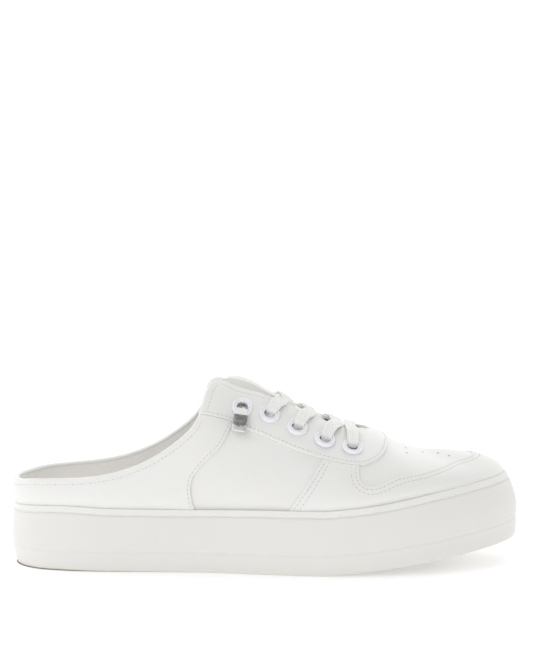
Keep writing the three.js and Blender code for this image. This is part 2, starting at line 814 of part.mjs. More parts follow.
function crossingSolid(index) {
  return strandSolid(index, -1, 0).add(strandSolid(index, 1, LACE_THICKNESS * STACKED_SHARE));
}

// The front bar lies straight across the throat, over the last pair of eyelets and the last crossing.
function barSolid() {
  const x = eyeletCentre(EYELETS - 1, -1).x;
  const half = STRAND.filter(({ across }) => across < 0).map(({ across, over }) => ({
    across,
    over: across < -0.8 ? over : "crossing",
  }));
  const rows = [...half, ...[...half].reverse().map((row) => ({ ...row, across: -row.across }))];
  const places = rows.map(({ across, over }) => ({
    ...placeAcross(x, across, -1, EYELETS - 1),
    height: LACE_OVER[over],
  }));
  return bandSolid(places, LACE_WIDTH, LACE_THICKNESS);
}

// Places straight down the last from the top eyelet, at distances below its centre.
function placesBelow(side, distances, height) {
  const centre = eyeletCentre(0, side);
  return distances.map((distance) => ({ ...seek(centre.x, "z", centre.z - distance, side), height }));
}

function laceEndSolid(side) {
  const height = EYELET_TOP + CLEARANCE + TIP_THICKNESS / 2;
  return bandSolid(placesBelow(side, [0, LACE_END / 2, LACE_END], height), LACE_WIDTH, LACE_THICKNESS);
}

function laceTipSolid(side) {
  const height = EYELET_TOP + CLEARANCE + TIP_THICKNESS / 2;
  const start = LACE_END + CLEARANCE;
  const distances = [start, start + TIP_LENGTH / 2, start + TIP_LENGTH];
  return bandSolid(placesBelow(side, distances, height), TIP_WIDTH, TIP_THICKNESS);
}

// Finishes
const finish = (color, roughness, metalness = 0) =>
  new THREE.MeshStandardMaterial({ color, roughness, metalness });
const leather = () => finish(0xf1f2f4, 0.45);
const rubber = () => finish(0xf3f2ee, 0.65);
const lining = () => finish(0xe6e1d6, 0.9);
const lace = () => finish(0xf0efe9, 0.95);
const ring = () => finish(0xe9eef6, 0.25);
const silver = () => finish(0xc9cbcf, 0.25, 1);

const shoe = new THREE.Group();

function addPiece(name, geometry, material) {
  const mesh = new THREE.Mesh(geometry, material);
  mesh.name = name;
  shoe.add(mesh);
  return mesh;
}

const addSolid = (name, solid, material) => addPiece(name, geometryOf(solid), material);

addSolid("sole", soleSolid(), rubber());
addSolid("upper", upperSolid(), leather());
addSolid("insole", insoleSolid(), lining());
addSolid("tongue", tongueSolid(), lining());
addSolid("eyestay", eyestaySolid(), leather());
addSolid("toe_overlay", toeOverlaySolid(), leather());
addSolid("backstay", backstaySolid(), leather());
for (const { name, side } of SIDES) {
  addSolid(`quarter_overlay_${name}`, quarterOverlaySolid(side), leather());
}

const eyeletShape = eyeletGeometry();
for (const { name, angle, level } of eyeletPlaces) {
  const eyelet = addPiece(name, eyeletShape, ring());
  eyelet.position.copy(ribPoint(angle, level));
  eyelet.quaternion.copy(turnTo(ribNormal(angle, level)));
}

for (let index = 1; index < EYELETS - 1; index += 1) {
  addSolid(`lace_crossing_${index + 1}`, crossingSolid(index), lace());
}
addSolid("lace_bar_front", barSolid(), lace());
for (const { name, side } of SIDES) {
  addSolid(`lace_end_${name}`, laceEndSolid(side), lace());
  addSolid(`lace_tip_${name}`, laceTipSolid(side), silver());
}

export default shoe;
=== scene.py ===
"""A white backless platform sneaker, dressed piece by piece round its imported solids."""

import logging
import math
from dataclasses import dataclass, field
from enum import Enum
from functools import lru_cache
from typing import Callable, Sequence, Union

import bpy
import numpy as np
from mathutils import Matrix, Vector
from mathutils.geometry import delaunay_2d_cdt
from mathutils.kdtree import KDTree


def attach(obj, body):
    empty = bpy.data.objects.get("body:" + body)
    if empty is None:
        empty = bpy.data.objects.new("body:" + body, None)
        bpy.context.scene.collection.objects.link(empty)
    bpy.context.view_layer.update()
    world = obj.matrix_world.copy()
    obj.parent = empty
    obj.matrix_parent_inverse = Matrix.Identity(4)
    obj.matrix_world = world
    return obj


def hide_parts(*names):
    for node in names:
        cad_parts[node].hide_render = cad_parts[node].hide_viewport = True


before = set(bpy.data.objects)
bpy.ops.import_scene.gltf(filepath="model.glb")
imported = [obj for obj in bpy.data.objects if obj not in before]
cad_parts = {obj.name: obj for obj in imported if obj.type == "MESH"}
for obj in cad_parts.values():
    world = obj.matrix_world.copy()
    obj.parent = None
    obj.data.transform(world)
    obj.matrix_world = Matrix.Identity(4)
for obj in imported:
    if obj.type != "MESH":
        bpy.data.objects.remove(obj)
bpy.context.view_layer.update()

MM = 0.001
BODY = "root"
LOG = logging.getLogger("sneaker")
Array = np.ndarray
Number = Union[float, Array]


class Side(Enum):
    """The two sides of the shoe, by the sign of y."""

    LATERAL = -1
    MEDIAL = 1


class Chart(Enum):
    """How the skin of the last is laid flat: wrapped round the shoe, or spread over its ridge."""

    WRAP = "wrap"
    OVER = "over"


class Border(Enum):
    """What the border of a panel does: a cut edge, or a rim that rolls over to the inside."""

    EDGE = 0.0
    ROLL = 1.0


class Table:
    """Rows of named columns over a share of the length, read on a smooth curve."""

    def __init__(self, names: str, *rows: tuple) -> None:
        """Keeps the rows.

        Args:
            names: the columns, the first being the share of the length.
            rows: one tuple of numbers a row.
        """
        self.columns = dict(zip(names.split(), np.array(rows, float).T))
        self.at = self.columns["at"]
        far = np.r_[self.at[0], self.at, self.at[-1]]
        self.slopes = {}
        for name, values in self.columns.items():
            wide = np.r_[values[0], values, values[-1]]
            self.slopes[name] = (wide[2:] - wide[:-2]) / (far[2:] - far[:-2])

    def read(self, column: str, at: Number) -> Array:
        """A column at some shares of the length.

        Args:
            column: the column's name.
            at: the shares of the length.

        Returns:
            The values there.
        """
        values, slopes, places = self.columns[column], self.slopes[column], self.at
        at = np.minimum(np.maximum(at, places[0]), places[-1])
        i = np.maximum(np.searchsorted(places, at, side="left") - 1, 0)
        step = places[i + 1] - places[i]
        u = (at - places[i]) / step
        ease = u * u * (3 - 2 * u)
        leave, arrive = u * (1 - u) ** 2 * step, u * u * (1 - u) * step
        ends = values[i] * (1 - ease) + values[i + 1] * ease
        return ends + leave * slopes[i] - arrive * slopes[i + 1]


OUTLINE = Table(
    "at middle half",
    (0.0, -0.02, 0.67), (0.05, -0.02, 0.605), (0.1, -0.018, 0.535), (0.2, -0.012, 0.455),
    (0.3, -0.008, 0.412), (0.4, -0.012, 0.402), (0.5, -0.018, 0.44), (0.6, -0.012, 0.497),
    (0.7, 0.0, 0.546), (0.8, 0.026, 0.586), (0.9, 0.055, 0.607), (1.0, 0.08, 0.64),
)
SIDE_OF_SOLE = Table(
    "at lip foot top",
    (0.0, 0.975, 1.0, 0.17), (0.1, 1.03, 0.9, 0.2), (0.2, 1.0, 0.65, 0.25), (0.35, 0.99, 0.55, 0.28),
    (0.5, 1.01, 0.5, 0.3), (0.66, 1.015, 0.5, 0.33), (0.73, 1.02, 0.45, 0.4), (0.83, 1.05, 0.3, 0.6),
    (0.93, 1.045, 0.12, 0.9), (1.0, 1.026, 0.1, 1.0),
)
RIDGE = Table(
    "at rise middle",
    (0.1, 1.03, -0.015), (0.3, 1.03, -0.01), (0.4, 1.01, 0.0), (0.45, 0.966, 0.005), (0.5, 0.868, 0.01),
    (0.55, 0.678, 0.014), (0.6, 0.486, 0.018), (0.65, 0.338, 0.022), (0.7, 0.251, 0.027),
    (0.75, 0.116, 0.034), (0.8, 0.018, 0.042), (0.85, 0.0, 0.05), (0.9, -0.02, 0.06),
)
SECTION = Table(
    "at upright crown swell",
    (0.0, 0.48, 0.45, 1.0), (0.15, 0.48, 0.42, 0.8), (0.34, 0.46, 0.8, 0.65), (0.38, 0.45, 0.75, 0.63),
    (0.43, 0.44, 0.45, 0.62), (0.5, 0.43, 0.34, 0.6), (0.65, 0.45, 0.42, 0.5), (0.8, 0.45, 0.5, 0.35),
    (1.0, 0.38, 0.5, 0.15),
)
THROAT = Table(
    "at breadth",
    (0.3, 1.0), (0.42, 1.0), (0.55, 0.97), (0.64, 0.9), (0.68, 0.72), (0.698, 0.4), (0.703, 0.0),
)
TONGUE_PLAN = Table(
    "at breadth",
    (0.416, 0.0), (0.417, 0.55), (0.423, 0.85), (0.44, 1.0), (0.6, 0.96), (0.72, 0.78), (0.745, 0.6),
    (0.75, 0.0),
)

# Edges in the side view: share of the length, share of the height from the sole's lip to the ridge
Edge = Sequence[tuple[float, float]]
COLLAR: Edge = (
    (-0.06, 0.165), (0.018, 0.18), (0.05, 0.192), (0.122, 0.201), (0.162, 0.219), (0.201, 0.249),
    (0.237, 0.291), (0.277, 0.358), (0.306, 0.427), (0.335, 0.508), (0.355, 0.58), (0.371, 0.665),
    (0.381, 0.77), (0.389, 0.87), (0.397, 0.925), (0.406, 0.955), (0.416, 0.965),
)
EYESTAY_EDGE: Edge = (
    (0.34, 0.71), (0.371, 0.702), (0.403, 0.684), (0.433, 0.655), (0.464, 0.61), (0.5, 0.583),
    (0.567, 0.566), (0.644, 0.572), (0.683, 0.57), (0.701, 0.609), (0.721, 0.726), (0.733, 0.857),
    (0.738, 1.0),
)
QUARTER_EDGE: Edge = (
    (0.372, -0.1), (0.36, 0.059), (0.356, 0.143), (0.36, 0.238), (0.374, 0.311), (0.392, 0.388),
    (0.41, 0.45), (0.421, 0.518), (0.437, 0.64),
)
GUARD_REAR_EDGE: Edge = (
    (0.53, -0.1), (0.545, 0.0), (0.558, 0.101), (0.572, 0.201), (0.59, 0.366), (0.601, 0.475),
    (0.614, 0.62),
)
GUARD_TOP_EDGE: Edge = (
    (0.685, 0.66), (0.681, 0.58), (0.679, 0.501), (0.679, 0.411), (0.682, 0.35), (0.694, 0.295),
    (0.71, 0.302), (0.727, 0.356), (0.743, 0.435), (0.763, 0.505), (0.806, 0.58), (0.835, 0.625),
    (0.863, 0.69), (0.888, 0.765), (0.91, 0.86), (0.925, 0.97), (0.934, 1.1),
)


def unit(vectors: Array) -> Array:
    """Vectors scaled to length one."""
    return vectors / np.maximum(np.linalg.norm(vectors, axis=-1, keepdims=True), 1e-12)


def spline(points: Array, steps: int) -> Array:
    """A smooth curve through points.

    Args:
        points: the points, one a row.
        steps: how many steps to take between two points.

    Returns:
        The curve's points, the given ones among them.
    """
    wide = np.concatenate([points[:1], points, points[-1:]])
    out = []
    for i in range(len(points) - 1):
        p0, p1, p2, p3 = wide[i : i + 4]
        t = np.linspace(0, 1, steps, endpoint=False)[:, None]
        v0, v1 = (p2 - p0) / 2, (p3 - p1) / 2
        cubic = (2 * p1 - 2 * p2 + v0 + v1) * t**3 + (3 * p2 - 3 * p1 - 2 * v0 - v1) * t**2
        out.append(cubic + v0 * t + p1)
    return np.concatenate([*out, points[-1:]])


def resample(points: Array, spacing: float, carried: Array) -> tuple[Array, Array]:
    """Even steps along a line.

    Args:
        points: the line's points in space.
        spacing: the step wanted.
        carried: other values at the points, such as their places on the last.

    Returns:
        The distances along the line and the carried values there.
    """
    run = np.r_[0, np.cumsum(np.linalg.norm(np.diff(points, axis=0), axis=1))]
    wanted = np.linspace(0, run[-1], max(2, int(round(run[-1] / spacing)) + 1))
    return wanted, np.stack([np.interp(wanted, run, column) for column in carried.T], -1)


@dataclass(frozen=True)
class Crease:
    """A soft trough or ridge in the leather, as seen from the side: its middle, run and depth in mm."""

    x: float
    z: float
    angle: float
    length: float
    width: float
    depth: float
    side: int = 0


@dataclass(frozen=True)
class Last:
    """The form under the upper, with the sole's outline, in millimetres.

    A place on it is an angle round the shoe (0 heel, pi toe, the lateral side between them) and a level
    up the rib, from 0 at the sole's lip to 1 at the ridge.
    """

    length: float = 278.0
    ball_width: float = 102.0
    instep_height: float = 104.5
    toe_height: float = 60.7
    sole_height: float = 34.2
    toe_spring: float = 13.4
    spring_start: float = 0.61
    spring_power: float = 1.2
    heel_stack: float = 22.0
    forefoot_stack: float = 16.0
    lip_thickness: float = 2.0
    heel_undercut: float = 2.6
    toe_lean: float = 6.0
    lean_power: float = 1.6
    heel_swell: float = 3.2
    swell_height: float = 5.0
    ridge_reach: float = 0.683
    clearance: float = 0.3
    throat_width: float = 29.0
    skirt: float = 30.0
    creases: tuple[Crease, ...] = (
        Crease(66, 56, 0.5, 13, 3.5, -0.35, 0),
        Crease(77, 52, 0.9, 11, 4.0, -0.3, 0),
        Crease(90, 52, 0.2, 15, 5.0, 0.25, -1),
        Crease(30, 52, 1.2, 16, 6.0, -0.35, 0),
        Crease(2, 60, 0.1, 26, 8.0, -0.5, 0),
        Crease(-40, 52, 0.5, 26, 6.0, -0.45, 0),
        Crease(-70, 46, 0.1, 34, 7.0, 0.35, 0),
        Crease(-104, 44, 0.0, 18, 5.0, -0.25, -1),
        Crease(-22, 84, 1.1, 11, 4.0, -0.4, 0),
        Crease(8, 76, -0.4, 20, 4.0, 0.25, 0),
    )

    def share_of(self, x: Number) -> Array:
        """The share of the length at x."""
        return np.asarray(x) / self.length + 0.5

    def place_of(self, share: Number) -> Array:
        """The x at a share of the length."""
        return (np.asarray(share) - 0.5) * self.length

    def bottom(self, share: Number) -> Array:
        """The height of the sole's bottom edge."""
        beyond = (np.asarray(share) - self.spring_start) / (1 - self.spring_start)
        return self.toe_spring * np.maximum(0, beyond) ** self.spring_power

    def lip(self, share: Number) -> Array:
        """The height of the sole's lip."""
        return self.bottom(share) + self.sole_height * SIDE_OF_SOLE.read("lip", share)

    def floor(self, share: Number) -> Array:
        """The height of the recess in the sole."""
        u = np.clip((np.asarray(share) - 0.25) / (0.62 - 0.25), 0, 1)
        drop = u * u * (3 - 2 * u)
        return self.bottom(share) + self.heel_stack + (self.forefoot_stack - self.heel_stack) * drop

    def ridge(self, share: Number) -> Array:
        """The height of the ridge."""
        return self.toe_height + (self.instep_height - self.toe_height) * RIDGE.read("rise", share)

    def ridge_slope(self, share: Number) -> Array:
        """How steeply the ridge rises towards the toe."""
        return (self.ridge(share + 0.01) - self.ridge(share - 0.01)) / (0.02 * self.length)

    def outline(self, angle: Number) -> Array:
        """The sole's outline in plan."""
        share = (1 - np.cos(angle)) / 2
        half = OUTLINE.read("half", share) * np.sin(angle)
        return np.stack(
            [self.place_of(share), self.ball_width * (OUTLINE.read("middle", share) - half)], -1
        )

    def outward(self, angle: Number) -> Array:
        """The direction out of the outline, in plan."""
        along = self.outline(angle + 0.01) - self.outline(angle - 0.01)
        return unit(np.stack([along[..., 1], -along[..., 0]], -1))

    def inset(self, angle: Number, inset: Number) -> Array:
        """The outline moved in by an inset."""
        return self.outline(angle) - self.outward(angle) * np.asarray(inset)[..., None]

    def top_inset(self, share: Number) -> Array:
        """How far the lip stands in from the widest outline."""
        return self.toe_lean * SIDE_OF_SOLE.read("top", share)

    def wall_inset(self, share: Number, height: Number) -> Array:
        """How far the sole's side stands in at a height."""
        bottom = self.bottom(share)
        level = (height - bottom) / (self.lip(share) - bottom)
        foot = self.heel_undercut * SIDE_OF_SOLE.read("foot", share) * np.maximum(0, 1 - 2 * level) ** 2
        return foot + self.top_inset(share) * np.maximum(0, 2 * level - 1) ** self.lean_power

    def rib(self, angle: Number, level: Number) -> Array:
        """A point of the last; below level 0 it lies straight down inside the lip.

        Args:
            angle: the rib's angle round the last.
            level: how far up it, 0 the sole's lip, 1 the ridge.

        Returns:
            The points in mm.
        """
        angle, level = np.broadcast_arrays(np.asarray(angle, float), np.asarray(level, float))
        below, level = np.minimum(level, 0), np.clip(level, 0, 1)
        share = (1 - np.cos(angle)) / 2
        start = self.inset(angle, self.top_inset(share) + self.lip_thickness + self.clearance)
        low = self.lip(share)
        end_x = self.place_of(share) * self.ridge_reach
        end_share = self.share_of(end_x)
        end = np.stack([end_x, self.ball_width * RIDGE.read("middle", end_share)], -1)
        high = self.ridge(end_share)
        crown = SECTION.read("crown", share)
        rest = 1 - level
        near_start = rest**3 + 3 * rest * rest * level
        near_crown = 3 * rest * level * level
        shoulder = high + self.ridge_slope(end_share) * crown * (start[..., 0] - end_x)
        upright = SECTION.read("upright", share) * (high - low) * 3 * rest * rest * level
        height = low * near_start + upright + shoulder * near_crown + high * level**3
        towards = (near_start + crown * near_crown)[..., None]
        swell = self.heel_swell * SECTION.read("swell", share) * rest * rest
        bulge = swell * (1 - np.exp((low - height) / self.swell_height))
        plan = end + (start - end) * towards + self.outward(angle) * bulge[..., None]
        return np.concatenate([plan, (height + below * self.skirt)[..., None]], -1)

    def normal(self, angle: Number, level: Number) -> Array:
        """The direction out of the last.

        Args:
            angle: the rib's angle round the last.
            level: how far up it, 0 the sole's lip, 1 the ridge.

        Returns:
            Unit vectors out of the last.
        """
        angle, level = np.broadcast_arrays(np.asarray(angle, float), np.asarray(level, float))
        level = np.clip(level, 0.002, 1)
        up = self.rib(angle, np.minimum(level + 0.004, 1)) - self.rib(angle, level - 0.004)
        along = self.rib(angle + 0.004, level) - self.rib(angle - 0.004, level)
        slope = self.ridge_slope(self.share_of(self.rib(angle, 1.0)[..., 0]))
        at_ridge = unit(np.stack([-slope, 0 * slope, 1 + 0 * slope], -1))
        blend = np.clip((level - 0.94) / 0.05, 0, 1)[..., None]
        return unit(unit(np.cross(along, up)) * (1 - blend) + at_ridge * blend)

    def relief(self, points: Array) -> Array:
        """How far the soft creases lift or sink the leather at some points.

        Args:
            points: points in mm.

        Returns:
            The lift at each point in mm, below 0 where it sinks.
        """
        lift = np.zeros(points.shape[:-1])
        for crease in self.creases:
            across, up = points[..., 0] - crease.x, points[..., 2] - crease.z
            run = across * math.cos(crease.angle) + up * math.sin(crease.angle)
            off = up * math.cos(crease.angle) - across * math.sin(crease.angle)
            shape = np.exp(-((run / crease.length) ** 2) - (off / crease.width) ** 2)
            here = 1.0 if crease.side == 0 else (np.sign(points[..., 1]) == crease.side)
            lift += crease.depth * shape * here
        return lift

    def over(self, angle: Number, level: Number, height: Number) -> Array:
        """Points at a height over the last, creases and all."""
        points = self.rib(angle, level)
        lift = np.asarray(height) + self.relief(points) * np.clip(np.asarray(level) * 12, 0, 1)
        return points + self.normal(angle, level) * lift[..., None]

    def seek(self, x: Number, value: Number, side: Number, axis: int = 2) -> Array:
        """Places on one side of the last from x and a second coordinate.

        Args:
            x: the wanted x.
            value: the wanted y or z.
            side: the sign of y of the side to look on.
            axis: 1 if value is y, or 2 if it is z.

        Returns:
            The places, as rows of angle and level.
        """
        x, value, side = np.broadcast_arrays(*(np.asarray(v, float) for v in (x, value, side)))
        heel, toe = np.where(side < 0, 0.0, 2 * np.pi), np.full(x.shape, np.pi)

        def angle_at(level: Array, low: Array, high: Array, halvings: int) -> Array:
            """The angles at which ribs at some levels reach x.

            Args:
                level: the ribs' levels.
                low: angles too low.
                high: angles too high.
                halvings: how often the gap is halved.

            Returns:
                The angles.
            """
            low, high = low.copy(), high.copy()
            for _ in range(halvings):
                middle = (low + high) / 2
                short = self.rib(middle, level)[..., 0] < x
                low, high = np.where(short, middle, low), np.where(short, high, middle)
            return (low + high) / 2

        low, high = np.zeros(x.shape), np.ones(x.shape)
        ends = [self.rib(angle_at(end, heel, toe, 14), end)[..., axis] for end in (low, high)]
        rising = ends[1] > ends[0]
        from_, to = heel, toe
        for halving in range(20):
            middle = (low + high) / 2
            near = angle_at(middle, from_, to, 12 if halving < 4 else 8)
            short = (self.rib(near, middle)[..., axis] < value) == rising
            low, high = np.where(short, middle, low), np.where(short, high, middle)
            if halving == 3:
                reach = np.sign(toe - heel) * 0.35
                from_, to = near - reach, near + reach
                from_ = np.where(side < 0, np.maximum(from_, heel), np.minimum(from_, heel))
                to = np.where(side < 0, np.minimum(to, toe), np.maximum(to, toe))
            elif halving == 9:
                reach = np.sign(toe - heel) * 0.02
                from_, to = near - reach, near + reach
                to = np.where(side < 0, np.minimum(to, toe), np.maximum(to, toe))
        level = (low + high) / 2
        return np.stack([angle_at(level, from_, to, 12), level], -1)

    def edge_height(self, share: Number, rise: Number) -> Array:
        """The height of a share of the way from the lip to the ridge."""
        low = self.lip(share)
        return low + np.asarray(rise) * (self.ridge(share) - low)

    def edge_line(self, edge: Edge, soft: float = 3.0) -> Array:
        """An edge's line in the side view, as rows of x and z, with its kinks eased over some mm.

        Args:
            edge: the edge's rows.
            soft: how far its kinks are eased, in mm.

        Returns:
            Rows of x and z in mm.
        """
        at, rise = np.array(edge).T
        line = spline(np.stack([self.place_of(at), self.edge_height(at, rise)], -1), 12)
        run, even = resample(line, 0.7, line)
        weight = np.exp(-(((run[:, None] - run[None]) / soft) ** 2))
        eased = weight @ even / weight.sum(1, keepdims=True)
        hold = np.clip(np.minimum(run, run[-1] - run) / (2 * soft), 0, 1)[:, None]
        return even * (1 - hold) + eased * hold

    def throat_half(self, x: Number) -> Array:
        """Half the breadth of the throat at x."""
        return self.throat_width / 2 * THROAT.read("breadth", self.share_of(x))

    def middle(self, x: Number) -> Array:
        """The y of the ridge at x."""
        return self.ball_width * RIDGE.read("middle", self.share_of(x))


LAST = Last()
RIB_RUN = 82.0
WRAP_ANGLES = np.linspace(-1.2, 2 * np.pi + 1.2, 2401)
WRAP_RUN = np.r_[
    0, np.cumsum(np.linalg.norm(np.diff(LAST.rib(WRAP_ANGLES, 0.15), axis=0), axis=1))
]


def flat_of(chart: Chart, places: Array) -> Array:
    """Places on the last, laid flat.

    Args:
        chart: how they are laid flat.
        places: rows of angle and level.

    Returns:
        Rows of two flat coordinates, about true to scale.
    """
    angle, level = places[..., 0], places[..., 1]
    if chart is Chart.WRAP:
        return np.stack([np.interp(angle, WRAP_ANGLES, WRAP_RUN), level * RIB_RUN], -1)
    along = LAST.place_of((1 - np.cos(angle)) / 2) * LAST.ridge_reach
    return np.stack([along, np.where(angle < np.pi, -1, 1) * (1 - level) * RIB_RUN], -1)


def place_of_flat(chart: Chart, flat: Array) -> Array:
    """The places on the last of flat coordinates; the way back from flat_of.

    Args:
        chart: how the skin is laid flat.
        flat: flat coordinates.

    Returns:
        Rows of angle and level.
    """
    if chart is Chart.WRAP:
        return np.stack([np.interp(flat[:, 0], WRAP_RUN, WRAP_ANGLES), flat[:, 1] / RIB_RUN], -1)
    share = LAST.share_of(flat[:, 0] / LAST.ridge_reach)
    angle = np.arccos(np.clip(1 - 2 * share, -1, 1))
    angle = np.where(flat[:, 1] < 0, angle, 2 * np.pi - angle)
    return np.stack([angle, 1 - np.abs(flat[:, 1]) / RIB_RUN], -1)


def moved(places: Array, steps: Array) -> Array:
    """Places moved over the last by small steps in space.

    Args:
        places: rows of angle and level.
        steps: the wanted steps in space, in the surface.

    Returns:
        The new places.
    """
    angle, level = places.T
    small = 0.002
    level_in = np.clip(level, small, 1 - small)
    by_angle = (LAST.rib(angle + small, level) - LAST.rib(angle - small, level)) / (2 * small)
    by_level = (LAST.rib(angle, level_in + small) - LAST.rib(angle, level_in - small)) / (2 * small)
    aa, ll = (by_angle**2).sum(-1), (by_level**2).sum(-1)
    al = (by_angle * by_level).sum(-1)
    to_a, to_l = (by_angle * steps).sum(-1), (by_level * steps).sum(-1)
    det = np.maximum(aa * ll - al * al, 1e-9)
    return places + np.stack([(ll * to_a - al * to_l) / det, (aa * to_l - al * to_a) / det], -1)


def inward_steps(places: Array, closed: bool) -> Array:
    """Directions in the surface, to the left of a line of places seen from outside.

    Args:
        places: the line, as rows of angle and level.
        closed: whether it is a loop.

    Returns:
        A direction for each place.
    """
    points = LAST.rib(*places.T)
    if closed:
        along = np.roll(points, -1, 0) - np.roll(points, 1, 0)
    else:
        along = np.gradient(points, axis=0)
    return unit(np.cross(LAST.normal(*places.T), unit(along)))


def beside(places: Array, distance: float, closed: bool = False) -> Array:
    """A line of places moved to its left by a distance, in small steps."""
    steps = max(1, int(math.ceil(abs(distance) / 1.0)))
    for _ in range(steps):
        places = moved(places, inward_steps(places, closed) * (distance / steps))
    return places


def inside_loop(points: Array, loop: Array) -> Array:
    """Which flat points lie in a flat closed loop.

    Args:
        points: flat points.
        loop: the loop's points.

    Returns:
        True where inside.
    """
    inside = np.zeros(len(points), bool)
    for (x0, y0), (x1, y1) in zip(loop, np.roll(loop, -1, 0)):
        crosses = (y0 > points[:, 1]) != (y1 > points[:, 1])
        with np.errstate(divide="ignore", invalid="ignore"):
            at = x0 + (points[:, 1] - y0) * (x1 - x0) / (y1 - y0)
        inside ^= crosses & (points[:, 0] < at)
    return inside


def nearest(points: Array, others: Array) -> tuple[Array, Array]:
    """The distance to the nearest of some other points, and which one it is.

    Args:
        points: the points to measure from.
        others: the points to measure to.

    Returns:
        The distances, and the places of the nearest ones in others.
    """
    tree = KDTree(len(others))
    for number, other in enumerate(others):
        tree.insert(other, number)
    tree.balance()
    found = [tree.find(point) for point in points]
    return np.array([hit[2] for hit in found]), np.array([hit[1] for hit in found])


class Piece:
    """A mesh in the making: points in millimetres, faces and the finish of each face."""

    def __init__(self, name: str) -> None:
        """Starts an empty piece with its name.

        Args:
            name: the name of the object that it becomes.
        """
        self.name = name
        self.points: list[Array] = []
        self.faces: list[tuple[int, ...]] = []
        self.finishes: list[int] = []
        self.uvs: dict[int, tuple[float, float]] = {}
        self.count = 0

    def add(self, points: Array, faces: Sequence[Sequence[int]], finish: int = 0) -> int:
        """Adds points and faces.

        Args:
            points: new points, one a row.
            faces: faces as numbers into the new points.
            finish: the material's number on these faces.

        Returns:
            The number of the first new point.
        """
        start = self.count
        self.points.append(np.asarray(points, float).reshape(-1, 3))
        self.count += len(self.points[-1])
        self.faces += [tuple(int(i) + start for i in face) for face in faces]
        self.finishes += [finish] * len(faces)
        return start

    def stitch(self, faces: Sequence[Sequence[int]], finish: int = 0) -> None:
        """Adds faces between points that are there already."""
        self.faces += [tuple(int(i) for i in face) for face in faces]
        self.finishes += [finish] * len(faces)

    def grid(self, points: Array, around: bool = False, finish: int = 0, flip: bool = False) -> int:
        """Adds a grid of points and its faces.

        Args:
            points: rows by columns by three.
            around: whether each row closes on itself.
            finish: the material's number.
            flip: whether the faces look the other way.

        Returns:
            The number of the first new point.
        """
        rows, columns = points.shape[:2]
        start = self.add(points, [])
        last = columns if around else columns - 1
        i, j = np.meshgrid(np.arange(rows - 1), np.arange(last), indexing="ij")
        k = (j + 1) % columns
        corners = [i * columns + j, i * columns + k, (i + 1) * columns + k, (i + 1) * columns + j]
        if flip:
            corners.reverse()
        self.stitch(np.stack([c.ravel() for c in corners], -1) + start, finish)
        return start

    def build(
        self,
        materials: Sequence[bpy.types.Material],
        slot: str,
        replaces: Sequence[str] = (),
        sheet: float = 0.0,
        merge: float = 0.0,
    ) -> bpy.types.Object:
        """Makes the Blender object and sets it on the body.

        Args:
            materials: the finishes, by number.
            slot: the record's material slot; not used.
            replaces: the CAD nodes that it stands for.
            sheet: how thick a sheet the surface becomes, inwards, in mm.
            merge: how near points become one, in mm.

        Returns:
            The object.
        """
        mesh = bpy.data.meshes.new(self.name)
        mesh.from_pydata((np.concatenate(self.points) * MM).tolist(), [], self.faces)
        for material in materials:
            mesh.materials.append(material)
        mesh.polygons.foreach_set("material_index", self.finishes)
        mesh.polygons.foreach_set("use_smooth", [True] * len(mesh.polygons))
        if self.uvs:
            layer = mesh.uv_layers.new(name="run")
            for loop in mesh.loops:
                layer.data[loop.index].uv = self.uvs.get(loop.vertex_index, (0.0, 0.0))
        mesh.update()
        made = bpy.data.objects.new(self.name, mesh)
        bpy.context.scene.collection.objects.link(made)
        if merge:
            weld = made.modifiers.new("weld", "WELD")
            weld.merge_threshold = merge * MM
        if sheet:
            thick = made.modifiers.new("sheet", "SOLIDIFY")
            thick.thickness = sheet * MM
            thick.offset = -1
        if merge or sheet:
            bpy.context.view_layer.update()
            solid = bpy.data.meshes.new_from_object(
                made.evaluated_get(bpy.context.evaluated_depsgraph_get())
            )
            made.modifiers.clear()
            made.data = solid
            solid.name = self.name
        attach(made, BODY)
        if replaces:
            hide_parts(*replaces)
        LOG.info("%s: %d faces", self.name, len(made.data.polygons))
        return made


@dataclass
class Stretch:
    """One stretch of a panel's border: its places, what it does, and how far from an end it fades in mm."""

    places: Array
    kind: Border = Border.EDGE
    fade: float = 0.0


